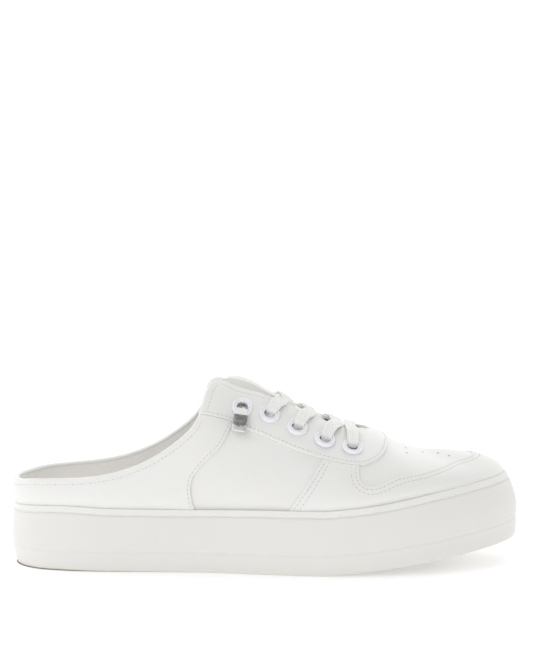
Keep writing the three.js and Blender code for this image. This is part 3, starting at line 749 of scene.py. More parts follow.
@dataclass
class Panel:
    """A leather panel on the last, cut to a border, with soft edges, stitched troughs and rolled rims."""

    name: str
    chart: Chart
    border: list[Stretch]
    top: float = 1.4
    foot: float = -0.05
    edge_round: float = 0.55
    sheet: float = 0.4
    holes: list[Array] = field(default_factory=list)
    troughs: tuple[float, ...] = (1.6,)
    trough_depth: float = 0.12
    roll_troughs: tuple[float, ...] = (2.6,)
    roll_radius: float = 1.75
    roll_out: float = 0.9
    facing: float = 0.8
    spacing: float = 0.8
    fill: float = 2.6
    loops: tuple[float, ...] = (0.1, 0.25, 0.45, 0.8, 1.2, 1.6, 1.9, 2.3, 2.7, 3.3, 3.9, 4.3, 4.8)
    finish: int = 0

    def ring(self) -> tuple[Array, Array]:
        """The border in even steps, with how much it rolls at each one.

        Returns:
            The places, as rows of angle and level, and a share of roll for each.
        """
        places, weights = [], []
        for stretch, following in zip(self.border, [*self.border[1:], self.border[0]]):
            line = stretch.places
            if abs(following.places[0, 0] - line[-1, 0]) < 0.3:
                line = np.concatenate([line, following.places[:1]])
            run, even = resample(LAST.rib(*line.T), self.spacing, line)
            left = run if stretch.fade < 0 else run[-1] - run
            fall = np.clip(left / abs(stretch.fade), 0, 1) if stretch.fade else np.ones(len(run))
            places.append(even[:-1])
            weights.append((stretch.kind.value * fall)[:-1])
        return np.concatenate(places), np.concatenate(weights)

    def heights(self, far: Array, rolls: Array) -> Array:
        """How high the leather lies over the last.

        Args:
            far: distances from the border.
            rolls: how much the nearest border rolls, from 0 to 1.

        Returns:
            The heights.
        """
        inside = np.clip(far / self.edge_round, 0, 1)
        drop = self.edge_round * (1 - np.sqrt(1 - (1 - inside) ** 2)) * (1 - rolls)
        dips = sum(np.exp(-(((far - at) / 0.45) ** 2)) for at in self.troughs) * (1 - rolls)
        dips = dips + sum(np.exp(-(((far - at) / 0.5) ** 2)) for at in self.roll_troughs) * rolls
        return self.top - drop - self.trough_depth * dips

    def shape(self) -> Piece:
        """Lays the panel's net of triangles over the last and turns its borders down or over.

        Returns:
            The piece, not yet an object.
        """
        ring, rolls = self.ring()
        flat_ring = flat_of(self.chart, ring)
        area = np.sum(np.cross(flat_ring, np.roll(flat_ring, -1, 0)))
        if area < 0:
            ring, rolls = ring[::-1], rolls[::-1]
            flat_ring = flat_ring[::-1]
        rings = [ring, *self.holes]
        kinds = [rolls, *(np.zeros(len(hole)) for hole in self.holes)]
        flat_rings = [flat_of(self.chart, one) for one in rings]
        border = LAST.rib(*np.concatenate(rings).T)
        border_rolls = np.concatenate(kinds)
        places = [*rings]
        far = [np.zeros(len(one)) for one in rings]
        weight = [*kinds]
        for distance in self.loops:
            for one, kind in zip(rings, kinds):
                line = beside(one, distance, closed=True)
                gap, _ = nearest(LAST.rib(*line.T), border)
                keep = gap > 0.97 * distance
                if distance > 2.5:
                    keep &= np.arange(len(line)) % 2 == 0
                places.append(line[keep])
                far.append(np.full(keep.sum(), distance))
                weight.append(kind[keep])
        low, high = flat_ring.min(0), flat_ring.max(0)
        across, up = np.meshgrid(
            np.arange(low[0], high[0], self.fill), np.arange(low[1], high[1], self.fill * 0.87)
        )
        across[1::2] += self.fill / 2
        grid = place_of_flat(self.chart, np.stack([across.ravel(), up.ravel()], -1))
        gap, which = nearest(LAST.rib(*grid.T), border)
        keep = gap > self.loops[-1] + 0.5 * self.fill
        places.append(grid[keep])
        far.append(gap[keep])
        weight.append(border_rolls[which[keep]])
        all_places = np.concatenate(places)
        flat = flat_of(self.chart, all_places)
        sizes = np.cumsum([0, *(len(one) for one in rings)])
        edges = [
            (int(start + i), int(start + (i + 1) % (end - start)))
            for start, end in zip(sizes[:-1], sizes[1:])
            for i in range(end - start)
        ]
        within = inside_loop(flat, flat_rings[0])
        for hole in flat_rings[1:]:
            within &= ~inside_loop(flat, hole)
        within[: sizes[-1]] = True
        kept = np.flatnonzero(within)
        number = np.full(len(flat), -1)
        number[kept] = np.arange(len(kept))
        result = delaunay_2d_cdt([Vector(p) for p in flat[kept]], edges, [], 0, 1e-5)
        made, triangles, origin = result[0], result[2], result[3]
        source = np.array([kept[from_[0]] if from_ else -1 for from_ in origin])
        triangles = np.array([t for t in triangles if all(source[i] >= 0 for i in t)])
        flat_made = np.array([tuple(v) for v in made])
        centres = flat_made[triangles].mean(1)
        good = inside_loop(centres, flat_rings[0])
        for hole in flat_rings[1:]:
            good &= ~inside_loop(centres, hole)
        triangles = source[triangles[good]]
        height = self.heights(np.concatenate(far), np.concatenate(weight))
        piece = Piece(self.name)
        piece.add(LAST.over(*all_places.T, height), triangles, self.finish)
        for start, end, one, kind in zip(sizes[:-1], sizes[1:], rings, kinds):
            self.turn_border(piece, int(start), one, kind)
        return piece

    def turn_border(self, piece: Piece, start: int, ring: Array, rolls: Array) -> None:
        """Turns a border down to the layer below, or rolls it over to the inside.

        Args:
            piece: the panel in the making.
            start: the number of the ring's first point.
            ring: the ring's places.
            rolls: how much each place rolls.
        """
        count = len(ring)
        normal, outward = LAST.normal(*ring.T), -inward_steps(ring, True)
        base = LAST.rib(*ring.T)
        lift = LAST.relief(base)[:, None] * normal
        here = np.arange(count)
        after = (here + 1) % count
        wall = piece.add(base + lift + normal * self.foot, [])
        plain = np.flatnonzero((rolls < 0.5) | (rolls[after] < 0.5))
        quads = [(start + i, wall + i, wall + after[i], start + after[i]) for i in plain]
        piece.stitch(quads, self.finish)
        rolled = np.flatnonzero((rolls > 0.5) & (rolls[after] > 0.5))
        if not len(rolled):
            return
        turns = np.linspace(0, math.pi, 11)[1:]
        size = np.clip(2 * rolls - 1, 0.15, 1)[:, None]
        radius = self.roll_radius * size
        middle = self.top - radius
        rows = [
            base + lift + normal * (middle + radius * math.cos(turn))
            + outward * (self.roll_out * size * math.sin(turn))
            for turn in turns
        ]
        inner = (middle - radius)[:, 0]
        for depth in np.linspace(0, self.facing, 5)[1:]:
            line = beside(ring, float(depth), closed=True)
            rows.append(LAST.over(*line.T, inner))
        previous = start + here
        for row in rows:
            first = piece.add(row, [])
            piece.stitch(
                [(previous[i], first + i, first + after[i], previous[after[i]]) for i in rolled],
                self.finish,
            )
            previous = first + here


def edge_places(line: Array, side: Side) -> Array:
    """The places on one side of the last of a line in the side view."""
    return LAST.seek(line[:, 0], line[:, 1], float(side.value))


def lip_places(start: float, end: float, level: float = -0.12, count: int = 200) -> Array:
    """A line of places along the sole's lip between two angles."""
    angle = np.linspace(start, end, count)
    return np.stack([angle, np.full(count, level)], -1)


def crossing(line: Array, other: Array) -> Array:
    """The first point where two lines in the side view cross.

    Args:
        line: a line, as rows of x and z.
        other: a line, as rows of x and z.

    Returns:
        The point, as x and z.
    """
    for a, b in zip(line[:-1], line[1:]):
        for c, d in zip(other[:-1], other[1:]):
            along, beyond = b - a, d - c
            det = along[0] * beyond[1] - along[1] * beyond[0]
            if abs(det) < 1e-12:
                continue
            t = ((c - a)[0] * beyond[1] - (c - a)[1] * beyond[0]) / det
            u = ((c - a)[0] * along[1] - (c - a)[1] * along[0]) / det
            if -1e-9 <= t <= 1 + 1e-9 and -1e-9 <= u <= 1 + 1e-9:
                return a + along * t
    raise ValueError("the lines don't cross")


def between(line: Array, start: Array, end: Array) -> Array:
    """The stretch of a line between two points on it, which become its ends.

    Args:
        line: a line, as rows of x and z.
        start: one end.
        end: the other end.

    Returns:
        The stretch, as rows of x and z.
    """
    def run_of(point: Array) -> float:
        """How far along the line the point of it nearest to a given point lies.

        Args:
            point: a point near the line.

        Returns:
            The run in mm.
        """
        best, where, run = 1e9, 0.0, 0.0
        for a, b in zip(line[:-1], line[1:]):
            size = float(np.linalg.norm(b - a))
            t = float(np.clip(np.dot(point - a, b - a) / max(size * size, 1e-12), 0, 1))
            gap = float(np.linalg.norm(a + (b - a) * t - point))
            if gap < best:
                best, where = gap, run + t * size
            run += size
        return where

    run = np.r_[0, np.cumsum(np.linalg.norm(np.diff(line, axis=0), axis=1))]
    first, last = run_of(start), run_of(end)
    low, high = min(first, last), max(first, last)
    middle = line[(run > low + 1e-6) & (run < high - 1e-6)]
    if first > last:
        middle = middle[::-1]
    return np.concatenate([[start], middle, [end]])


@dataclass(frozen=True)
class Pattern:
    """The cut of the upper: where its panels' edges run on the last."""

    backstay_width: float = 20.0
    eyelets: int = 5
    eyelet_first: float = 0.454
    eyelet_last: float = 0.666
    eyelet_rise: float = 0.757
    collar_end: tuple[float, float] = (0.42, 4.0)
    ear_round: float = 5.0
    far_ear_round: float = 9.0
    ear_roll: float = 34.0

    @lru_cache
    def collar(self) -> Array:
        """The collar in the side view, up to past the ears."""
        share, rise = self.collar_end
        end = [float(LAST.place_of(share)), float(LAST.edge_height(share, rise))]
        return np.concatenate([LAST.edge_line(COLLAR), [end]])

    def toe_rib(self) -> Array:
        """The silhouette of the toe in the side view."""
        return LAST.rib(np.pi, np.linspace(0, 1, 200))[:, [0, 2]]

    @lru_cache
    def ear_foot(self) -> Array:
        """The point in the side view where the eyestay's lower edge meets the collar."""
        return crossing(self.collar(), LAST.edge_line(EYESTAY_EDGE))

    @lru_cache
    def throat_line(self, side: Side) -> Array:
        """Places along the throat's edge, from the ear to the throat's front.

        Args:
            side: the side of the shoe.

        Returns:
            Rows of angle and level.
        """
        x = LAST.place_of(np.linspace(0.385, 0.7029, 260))
        y = LAST.middle(x) + side.value * LAST.throat_half(x)
        places = LAST.seek(x, y, float(side.value), 1)
        collar = self.collar()
        below = LAST.rib(*places.T)[:, 2] < np.interp(x, collar[:, 0], collar[:, 1])
        return places[int(np.argmax(below)) :]

    @lru_cache
    def ear_line(self, side: Side) -> Array:
        """Places up the collar from the foot of the ear to the throat."""
        top = LAST.rib(*self.throat_line(side)[0])[[0, 2]]
        collar = self.collar()
        return edge_places(between(collar, self.ear_foot(), top), side)

    @lru_cache
    def ear_border(self, side: Side) -> tuple[Array, Array]:
        """The ear's rolled border, round its soft corner and down the throat, and the throat's rest.

        Args:
            side: the side of the shoe.

        Returns:
            The rolled places and the rest, as rows of angle and level.
        """
        ear, throat = self.ear_line(side), self.throat_line(side)
        cut = self.ear_round if side is Side.LATERAL else self.far_ear_round
        corner = LAST.rib(*throat[0])
        ear = ear[np.linalg.norm(LAST.rib(*ear.T) - corner, axis=1) > cut]
        gap = np.linalg.norm(LAST.rib(*throat.T) - corner, axis=1)
        roll = throat[(gap > cut) & (gap < self.ear_roll)]
        t = np.linspace(0, 1, 14)[1:-1, None]
        arc = (1 - t) ** 2 * ear[-1] + 2 * t * (1 - t) * throat[0] + t * t * roll[0]
        rest = np.concatenate([roll[-1:], throat[gap >= self.ear_roll]])
        return np.concatenate([ear, arc, roll]), rest

    @lru_cache
    def quarter_collar(self, side: Side) -> Array:
        """Places along the collar from the backstay to the foot of the ear.

        Args:
            side: the side of the shoe.

        Returns:
            Rows of angle and level.
        """
        line = between(self.collar(), self.collar()[0], self.ear_foot())
        places = edge_places(line, side)
        half = self.backstay_width / 2
        keep = np.abs(LAST.rib(*places.T)[:, 1]) > half + 0.4
        keep &= places[:, 0] < 2 * np.pi - 1e-3
        keep &= places[:, 0] > 1e-3
        return np.concatenate([[self.heel_corner(side, half)], places[keep]])

    def heel_corner(self, side: Side, half: float) -> Array:
        """The place on the collar at a distance from the middle of the heel."""
        return self.heel_side(side, half)[-1]

    @lru_cache
    def heel_side(self, side: Side, half: float) -> Array:
        """Places straight up the heel, at a distance to one side of its middle, from lip to collar.

        Args:
            side: the side of the shoe.
            half: the distance from the heel's middle, in mm.

        Returns:
            Rows of angle and level.
        """
        collar = self.collar()
        rows = []
        for level in np.linspace(0.004, 0.45, 90):
            low, high = (0.0, 1.2) if side is Side.LATERAL else (2 * np.pi, 2 * np.pi - 1.2)
            for _ in range(30):
                middle = (low + high) / 2
                if abs(float(LAST.rib(middle, level)[1])) < half:
                    low = middle
                else:
                    high = middle
            rows.append(((low + high) / 2, level))
            point = LAST.rib(*rows[-1])
            if point[2] > np.interp(point[0], collar[:, 0], collar[:, 1]):
                before, after = LAST.rib(*rows[-2]), point
                top = np.interp((before[0] + after[0]) / 2, collar[:, 0], collar[:, 1])
                part = (top - before[2]) / (after[2] - before[2])
                rows[-1] = tuple(np.array(rows[-2]) * (1 - part) + np.array(rows[-1]) * part)
                break
        return np.array(rows)

    @lru_cache
    def eyelet(self, index: int, side: Side) -> Array:
        """The place of an eyelet, counted from the ear."""
        share = self.eyelet_first + (self.eyelet_last - self.eyelet_first) * index / (self.eyelets - 1)
        height = LAST.edge_height(share, self.eyelet_rise)
        return LAST.seek(LAST.place_of(share), height, float(side.value)).reshape(2)


PATTERN = Pattern()


def tongue_top(x: Number) -> Array:
    """How high the tongue lies over the last: low under the laces, flush where it is sewn in."""
    return np.interp(x, (-24, -20, -16, -11, -6, 0, 8, 34, 45, 50, 54),
                     (-4.6, -2.7, -1.9, -1.9, -2.7, -3.9, -3.9, -3.0, -2.4, -1.2, -0.5))


def loop_round(place: Array, radius: float, count: int = 26) -> Array:
    """Places on a circle round a place on the last, clockwise seen from outside.

    Args:
        place: the middle, as angle and level.
        radius: the circle's, in mm.
        count: how many places.

    Returns:
        Rows of angle and level.
    """
    centre, normal = LAST.rib(*place), LAST.normal(*place)
    first = unit(np.cross(normal, np.array([0.0, 0.0, 1.0])))
    second = np.cross(normal, first)
    places = np.repeat(place[None], count, 0)
    turns = -np.arange(count) / count * 2 * np.pi
    wanted = centre + radius * (np.cos(turns)[:, None] * first + np.sin(turns)[:, None] * second)
    for _ in range(4):
        places = moved(places, wanted - LAST.rib(*places.T))
    return places


class Leather(Enum):
    """How high each layer of leather lies over the last, in mm."""

    OVERLAY = 1.45
    BACKSTAY = 1.0
    GUARD = 1.15
    EYESTAY = 1.5


@dataclass
class Upper:
    """The leather upper: its base, the overlays on it, the lining and the padded tongue."""

    ribs: int = 640
    rows: int = 44
    lining_depth: float = 1.9
    base_sheet: float = 1.2
    backstay_tuck: float = 2.0
    tuck: float = 2.5
    collar_drop: float = 3.4
    face_share: float = 0.28
    tongue_thickness: float = 4.5
    tongue_width: float = 46.0
    eyelet_hole: float = 3.9

    def top_levels(self, angles: Array, kept: Callable[[Array], Array]) -> Array:
        """The level on each rib up to which a test on its points holds.

        Args:
            angles: the ribs' angles.
            kept: tells of points in space whether they belong to the piece.

        Returns:
            One level a rib.
        """
        levels = np.linspace(0, 1, 401)
        points = LAST.rib(angles[:, None], levels[None])
        good = kept(points)
        good[:, 0] = True
        first_bad = np.where(good.all(1), len(levels) - 1, np.argmin(good, 1) - 1)
        return levels[np.maximum(first_bad, 0)]

    def below_collar(self, points: Array, drop: float) -> Array:
        """Whether points lie below the collar by a drop."""
        collar = PATTERN.collar()
        return points[..., 2] < np.interp(points[..., 0], collar[:, 0], collar[:, 1]) - drop

    def base(self, leather: "Finish") -> bpy.types.Object:
        """The base of the upper, from the sole to under the overlays' edges.

        Args:
            leather: the leather's finish.

        Returns:
            The finished object.
        """
        edge = LAST.edge_line(EYESTAY_EDGE)

        def kept(points: Array) -> Array:
            """Whether the base reaches some points.

            Args:
                points: points on the last.

            Returns:
                True where it does.
            """
            under = points[..., 2] < np.interp(points[..., 0], edge[:, 0], edge[:, 1]) + self.tuck
            ahead = points[..., 0] > edge[-1, 0] - self.tuck
            return self.below_collar(points, self.collar_drop) & (under | ahead)

        angles = np.linspace(0, 2 * np.pi, self.ribs, endpoint=False)
        tops = self.top_levels(angles, kept)
        part = np.linspace(0, 1, self.rows)
        levels = -0.25 + (tops[:, None] + 0.25) * part[None]
        piece = Piece("upper_base")
        points = LAST.over(angles[:, None], levels, 0.0)
        piece.grid(np.concatenate([points, points[:1]]), flip=True)
        return piece.build([leather.material()], "white_leather", ["upper"], self.base_sheet, 0.02)

    def lining(self, finish: "Finish") -> bpy.types.Object:
        """The lining on the inner side of the upper, below the rolled rim.

        Args:
            finish: the lining's finish.

        Returns:
            The finished object.
        """

        def kept(points: Array) -> Array:
            """Whether the lining reaches some points.

            Args:
                points: points on the last.

            Returns:
                True where it does.
            """
            x = points[..., 0]
            reach = np.where(x < LAST.place_of(0.705), LAST.throat_half(x) + 3.0, -1.0)
            inside = np.abs(points[..., 1] - LAST.middle(x)) < reach
            return self.below_collar(points, 0.3) & ~(inside & (x > LAST.place_of(0.3)))

        angles = np.linspace(0, 2 * np.pi, 480, endpoint=False)
        tops = self.top_levels(angles, kept)
        part = np.linspace(0, 1, 40)
        levels = -0.42 + (tops[:, None] + 0.42) * part[None]
        piece = Piece("upper_lining")
        points = LAST.over(angles[:, None], levels, -self.lining_depth)
        piece.grid(np.concatenate([points, points[:1]]))
        return piece.build([finish.material()], "lining", ["upper"], 0.45, 0.02)

    def insole(self, finish: "Finish") -> bpy.types.Object:
        """The footbed, a sheet with a soft rim on the floor of the sole.

        Args:
            finish: the footbed's finish.

        Returns:
            The finished object.
        """
        angles = np.linspace(0, 2 * np.pi, 360, endpoint=False)
        share = (1 - np.cos(angles)) / 2
        edge = LAST.inset(angles, LAST.top_inset(share) + LAST.lip_thickness + 2.6)
        middle = LAST.ball_width * OUTLINE.read("middle", share)
        floor = LAST.floor(share) + 0.3
        rows = [(1.0, 0.0, 0.0), (1.0, 3.4, 0.0), (1.0, 3.8, 0.25), (1.0, 4.0, 0.8), (0.9, 4.0, 1.0)]
        rows += [(part, 4.0 - 0.4 * (1 - part * part), 1.0) for part in (0.75, 0.5, 0.25, 0.0)]
        made = []
        for part, rise, inset in rows:
            out = LAST.outward(angles) * inset
            plan = np.stack([edge[:, 0], middle + (edge[:, 1] - middle) * part], -1) - out * part
            made.append(np.concatenate([plan, (floor + rise)[:, None]], -1))
        under = np.stack([edge[:, 0], middle, floor], -1)
        piece = Piece("insole_bed")
        piece.grid(np.stack([under, *made]), around=True)
        return piece.build([finish.material()], "lining", ["insole"], 0.0, 0.01)

    def quarter(self, side: Side, leather: "Finish") -> bpy.types.Object:
        """The rear quarter on one side, with its folded front edge and rolled rim.

        Args:
            side: the side of the shoe.
            leather: the leather's finish.

        Returns:
            The finished object.
        """
        front, edge = LAST.edge_line(QUARTER_EDGE), LAST.edge_line(EYESTAY_EDGE)
        beyond = [LAST.place_of(0.34), LAST.instep_height]
        front = np.concatenate([front, [beyond]])
        corner = crossing(front, edge)
        lip = crossing(front, np.stack([front[:, 0] + 0.0, LAST.lip(LAST.share_of(front[:, 0])) + 0.2], -1))
        front_places = edge_places(between(front, lip, corner), side)
        top_places = edge_places(between(edge, corner, PATTERN.ear_foot()), side)
        rim = PATTERN.quarter_collar(side)[::-1]
        heel = PATTERN.heel_side(side, PATTERN.backstay_width / 2)[::-1]
        low = lip_places(heel[-1, 0], front_places[0, 0])
        name = f"quarter_overlay_{side.name.lower()}"
        panel = Panel(
            f"{name}_leather",
            Chart.WRAP,
            [
                Stretch(low),
                Stretch(front_places),
                Stretch(top_places),
                Stretch(np.concatenate([rim[:-1], heel[:1]]), Border.ROLL),
                Stretch(heel),
            ],
            top=Leather.OVERLAY.value,
            edge_round=0.8,
        )
        return panel.shape().build([leather.material()], "white_leather", [name], panel.sheet)

    def backstay(self, leather: "Finish") -> bpy.types.Object:
        """The strip up the back of the heel, with its rolled rim.

        Args:
            leather: the leather's finish.

        Returns:
            The finished object.
        """
        half = PATTERN.backstay_width / 2 + self.backstay_tuck
        near = PATTERN.heel_side(Side.LATERAL, half)
        far = PATTERN.heel_side(Side.MEDIAL, half)
        far = far - [2 * np.pi, 0]
        collar = PATTERN.collar()
        angles = np.linspace(near[-1, 0], far[-1, 0], 30)
        levels = []
        for angle in angles:
            tries = np.linspace(0.05, 0.45, 400)
            points = LAST.rib(angle, tries)
            above = points[:, 2] > np.interp(points[:, 0], collar[:, 0], collar[:, 1])
            levels.append(tries[int(np.argmax(above))])
        rim = np.stack([angles, np.array(levels)], -1)
        rim[0], rim[-1] = near[-1], far[-1]
        panel = Panel(
            "backstay_leather",
            Chart.WRAP,
            [
                Stretch(lip_places(far[0, 0], near[0, 0], count=40)),
                Stretch(near),
                Stretch(rim, Border.ROLL),
                Stretch(far[::-1]),
            ],
            top=Leather.BACKSTAY.value,
            roll_radius=1.45,
            troughs=(),
            fill=2.0,
        )
        return panel.shape().build([leather.material()], "white_leather", ["backstay"], panel.sheet)

    def guard_border(self, side: Side) -> tuple[Array, Array, Array]:
        """The toe overlay's border on one side: rear edge, edge by the eyestay, upper edge.

        Args:
            side: the side of the shoe.

        Returns:
            The three lines, each as rows of angle and level.
        """
        rear, top = LAST.edge_line(GUARD_REAR_EDGE), LAST.edge_line(GUARD_TOP_EDGE)
        edge = LAST.edge_line(EYESTAY_EDGE)
        low = crossing(rear, np.stack([rear[:, 0], LAST.lip(LAST.share_of(rear[:, 0])) + 0.2], -1))
        first, second = crossing(rear, edge), crossing(top, edge)
        end = crossing(top, PATTERN.toe_rib())
        ahead = edge_places(between(top, second, end), side)
        ahead = ahead[np.abs(ahead[:, 0] - np.pi) > 0.01]
        rib = PATTERN.toe_rib()
        level = float(np.interp(end[0], rib[::-1, 0], np.linspace(0, 1, 200)[::-1]))
        return (
            edge_places(between(rear, low, first), side),
            edge_places(between(edge, first, second), side),
            np.concatenate([ahead, [[np.pi, level]]]),
        )

    def guard(self, leather: "Finish") -> bpy.types.Object:
        """The toe overlay: mudguard and side panels, round the toe in one piece.

        Args:
            leather: the leather's finish.

        Returns:
            The finished object.
        """
        near, far = self.guard_border(Side.LATERAL), self.guard_border(Side.MEDIAL)
        panel = Panel(
            "toe_overlay_leather",
            Chart.WRAP,
            [
                Stretch(lip_places(near[0][0, 0], far[0][0, 0], count=400)),
                *(Stretch(line) for line in far),
                *(Stretch(line[::-1]) for line in near[::-1]),
            ],
            top=Leather.GUARD.value,
            edge_round=0.45,
            troughs=(1.9, 4.3),
        )
        return panel.shape().build([leather.material()], "white_leather", ["toe_overlay"], panel.sheet)

    def eyestay(self, leather: "Finish") -> bpy.types.Object:
        """The U-shaped stay round the throat with its two ears.

        Args:
            leather: the leather's finish.

        Returns:
            The finished object.
        """
        edge = LAST.edge_line(EYESTAY_EDGE)
        front = edge[-1]
        low = edge_places(between(edge, PATTERN.ear_foot(), front), Side.LATERAL)
        low_far = edge_places(between(edge, PATTERN.ear_foot(), front), Side.MEDIAL)
        near, far = PATTERN.ear_border(Side.LATERAL), PATTERN.ear_border(Side.MEDIAL)
        stretches = [
            Stretch(low[::-1]),
            Stretch(near[0], Border.ROLL, 9.0),
            Stretch(near[1]),
            Stretch(far[1][::-1]),
            Stretch(far[0][::-1], Border.ROLL, -9.0),
            Stretch(low_far),
        ]
        holes = [
            loop_round(PATTERN.eyelet(k, side), self.eyelet_hole)
            for side in Side
            for k in range(PATTERN.eyelets)
        ]
        panel = Panel(
            "eyestay_leather",
            Chart.OVER,
            stretches,
            top=Leather.EYESTAY.value,
            foot=-0.4,
            holes=holes,
            roll_radius=1.7,
            roll_out=1.3,
            facing=1.2,
            fill=2.2,
        )
        return panel.shape().build([leather.material()], "white_leather", ["eyestay"], panel.sheet)

    def tongue(self, leather: "Finish", lining: "Finish") -> list[bpy.types.Object]:
        """The padded tongue: a leather strip along the middle of a thicker, softer lining."""
        return [
            self.tongue_layer("tongue_pad", lining, "lining", 1.0, 0.0, self.tongue_thickness),
            self.tongue_layer("tongue_face", leather, "white_leather", self.face_share, 0.45, 1.2),
        ]

    def tongue_layer(
        self, name: str, finish: "Finish", slot: str, share: float, lift: float, thickness: float
    ) -> bpy.types.Object:
        """One layer of the tongue, with rounded edges.

        Args:
            name: the piece's name.
            finish: its finish.
            slot: the record's material slot.
            share: how much of the tongue's breadth it covers.
            lift: how high its top lies over the tongue's, in mm.
            thickness: how thick it is.

        Returns:
            The piece.
        """
        x = LAST.place_of(np.linspace(0.4165, 0.7495, 110))
        half = share * self.tongue_width / 2 * TONGUE_PLAN.read("breadth", LAST.share_of(x))
        across = np.linspace(-1, 1, 41)
        y = LAST.middle(x)[:, None] + half[:, None] * across[None]
        side = np.where(across < 0, -1.0, 1.0)[None] * np.ones_like(y)
        places = LAST.seek(x[:, None], y, side, 1)
        base = LAST.rib(places[..., 0], places[..., 1])
        normal = LAST.normal(places[..., 0], places[..., 1])
        start = np.clip((x - x[0]) / 7.0, 0, 1)[:, None]
        rim = np.sqrt(1 - (1 - start) ** 2) * np.sqrt(np.clip(1 - np.abs(across[None]) ** 6, 0, 1))
        top = tongue_top(base[..., 0]) + lift
        middle = top - thickness / 2
        thick = thickness / 2 * (0.3 + 0.7 * rim)
        upper = base + normal * (middle + thick)[..., None]
        lower = base + normal * (middle - thick)[..., None]
        rows = np.concatenate([upper, lower[:, ::-1]], 1)
        piece = Piece(name)
        piece.grid(rows, around=True)
        count = len(across)
        for end, flip in ((rows[0], False), (rows[-1], True)):
            first = piece.add(end, [])
            quads = [(first + i, first + i + 1, first + 2 * count - 2 - i, first + 2 * count - 1 - i)
                     for i in range(count - 1)]
            piece.stitch([quad[::-1] for quad in quads] if flip else quads)
        made = piece.build([finish.material()], slot, ["tongue"], 0.0, 0.01)
        return made


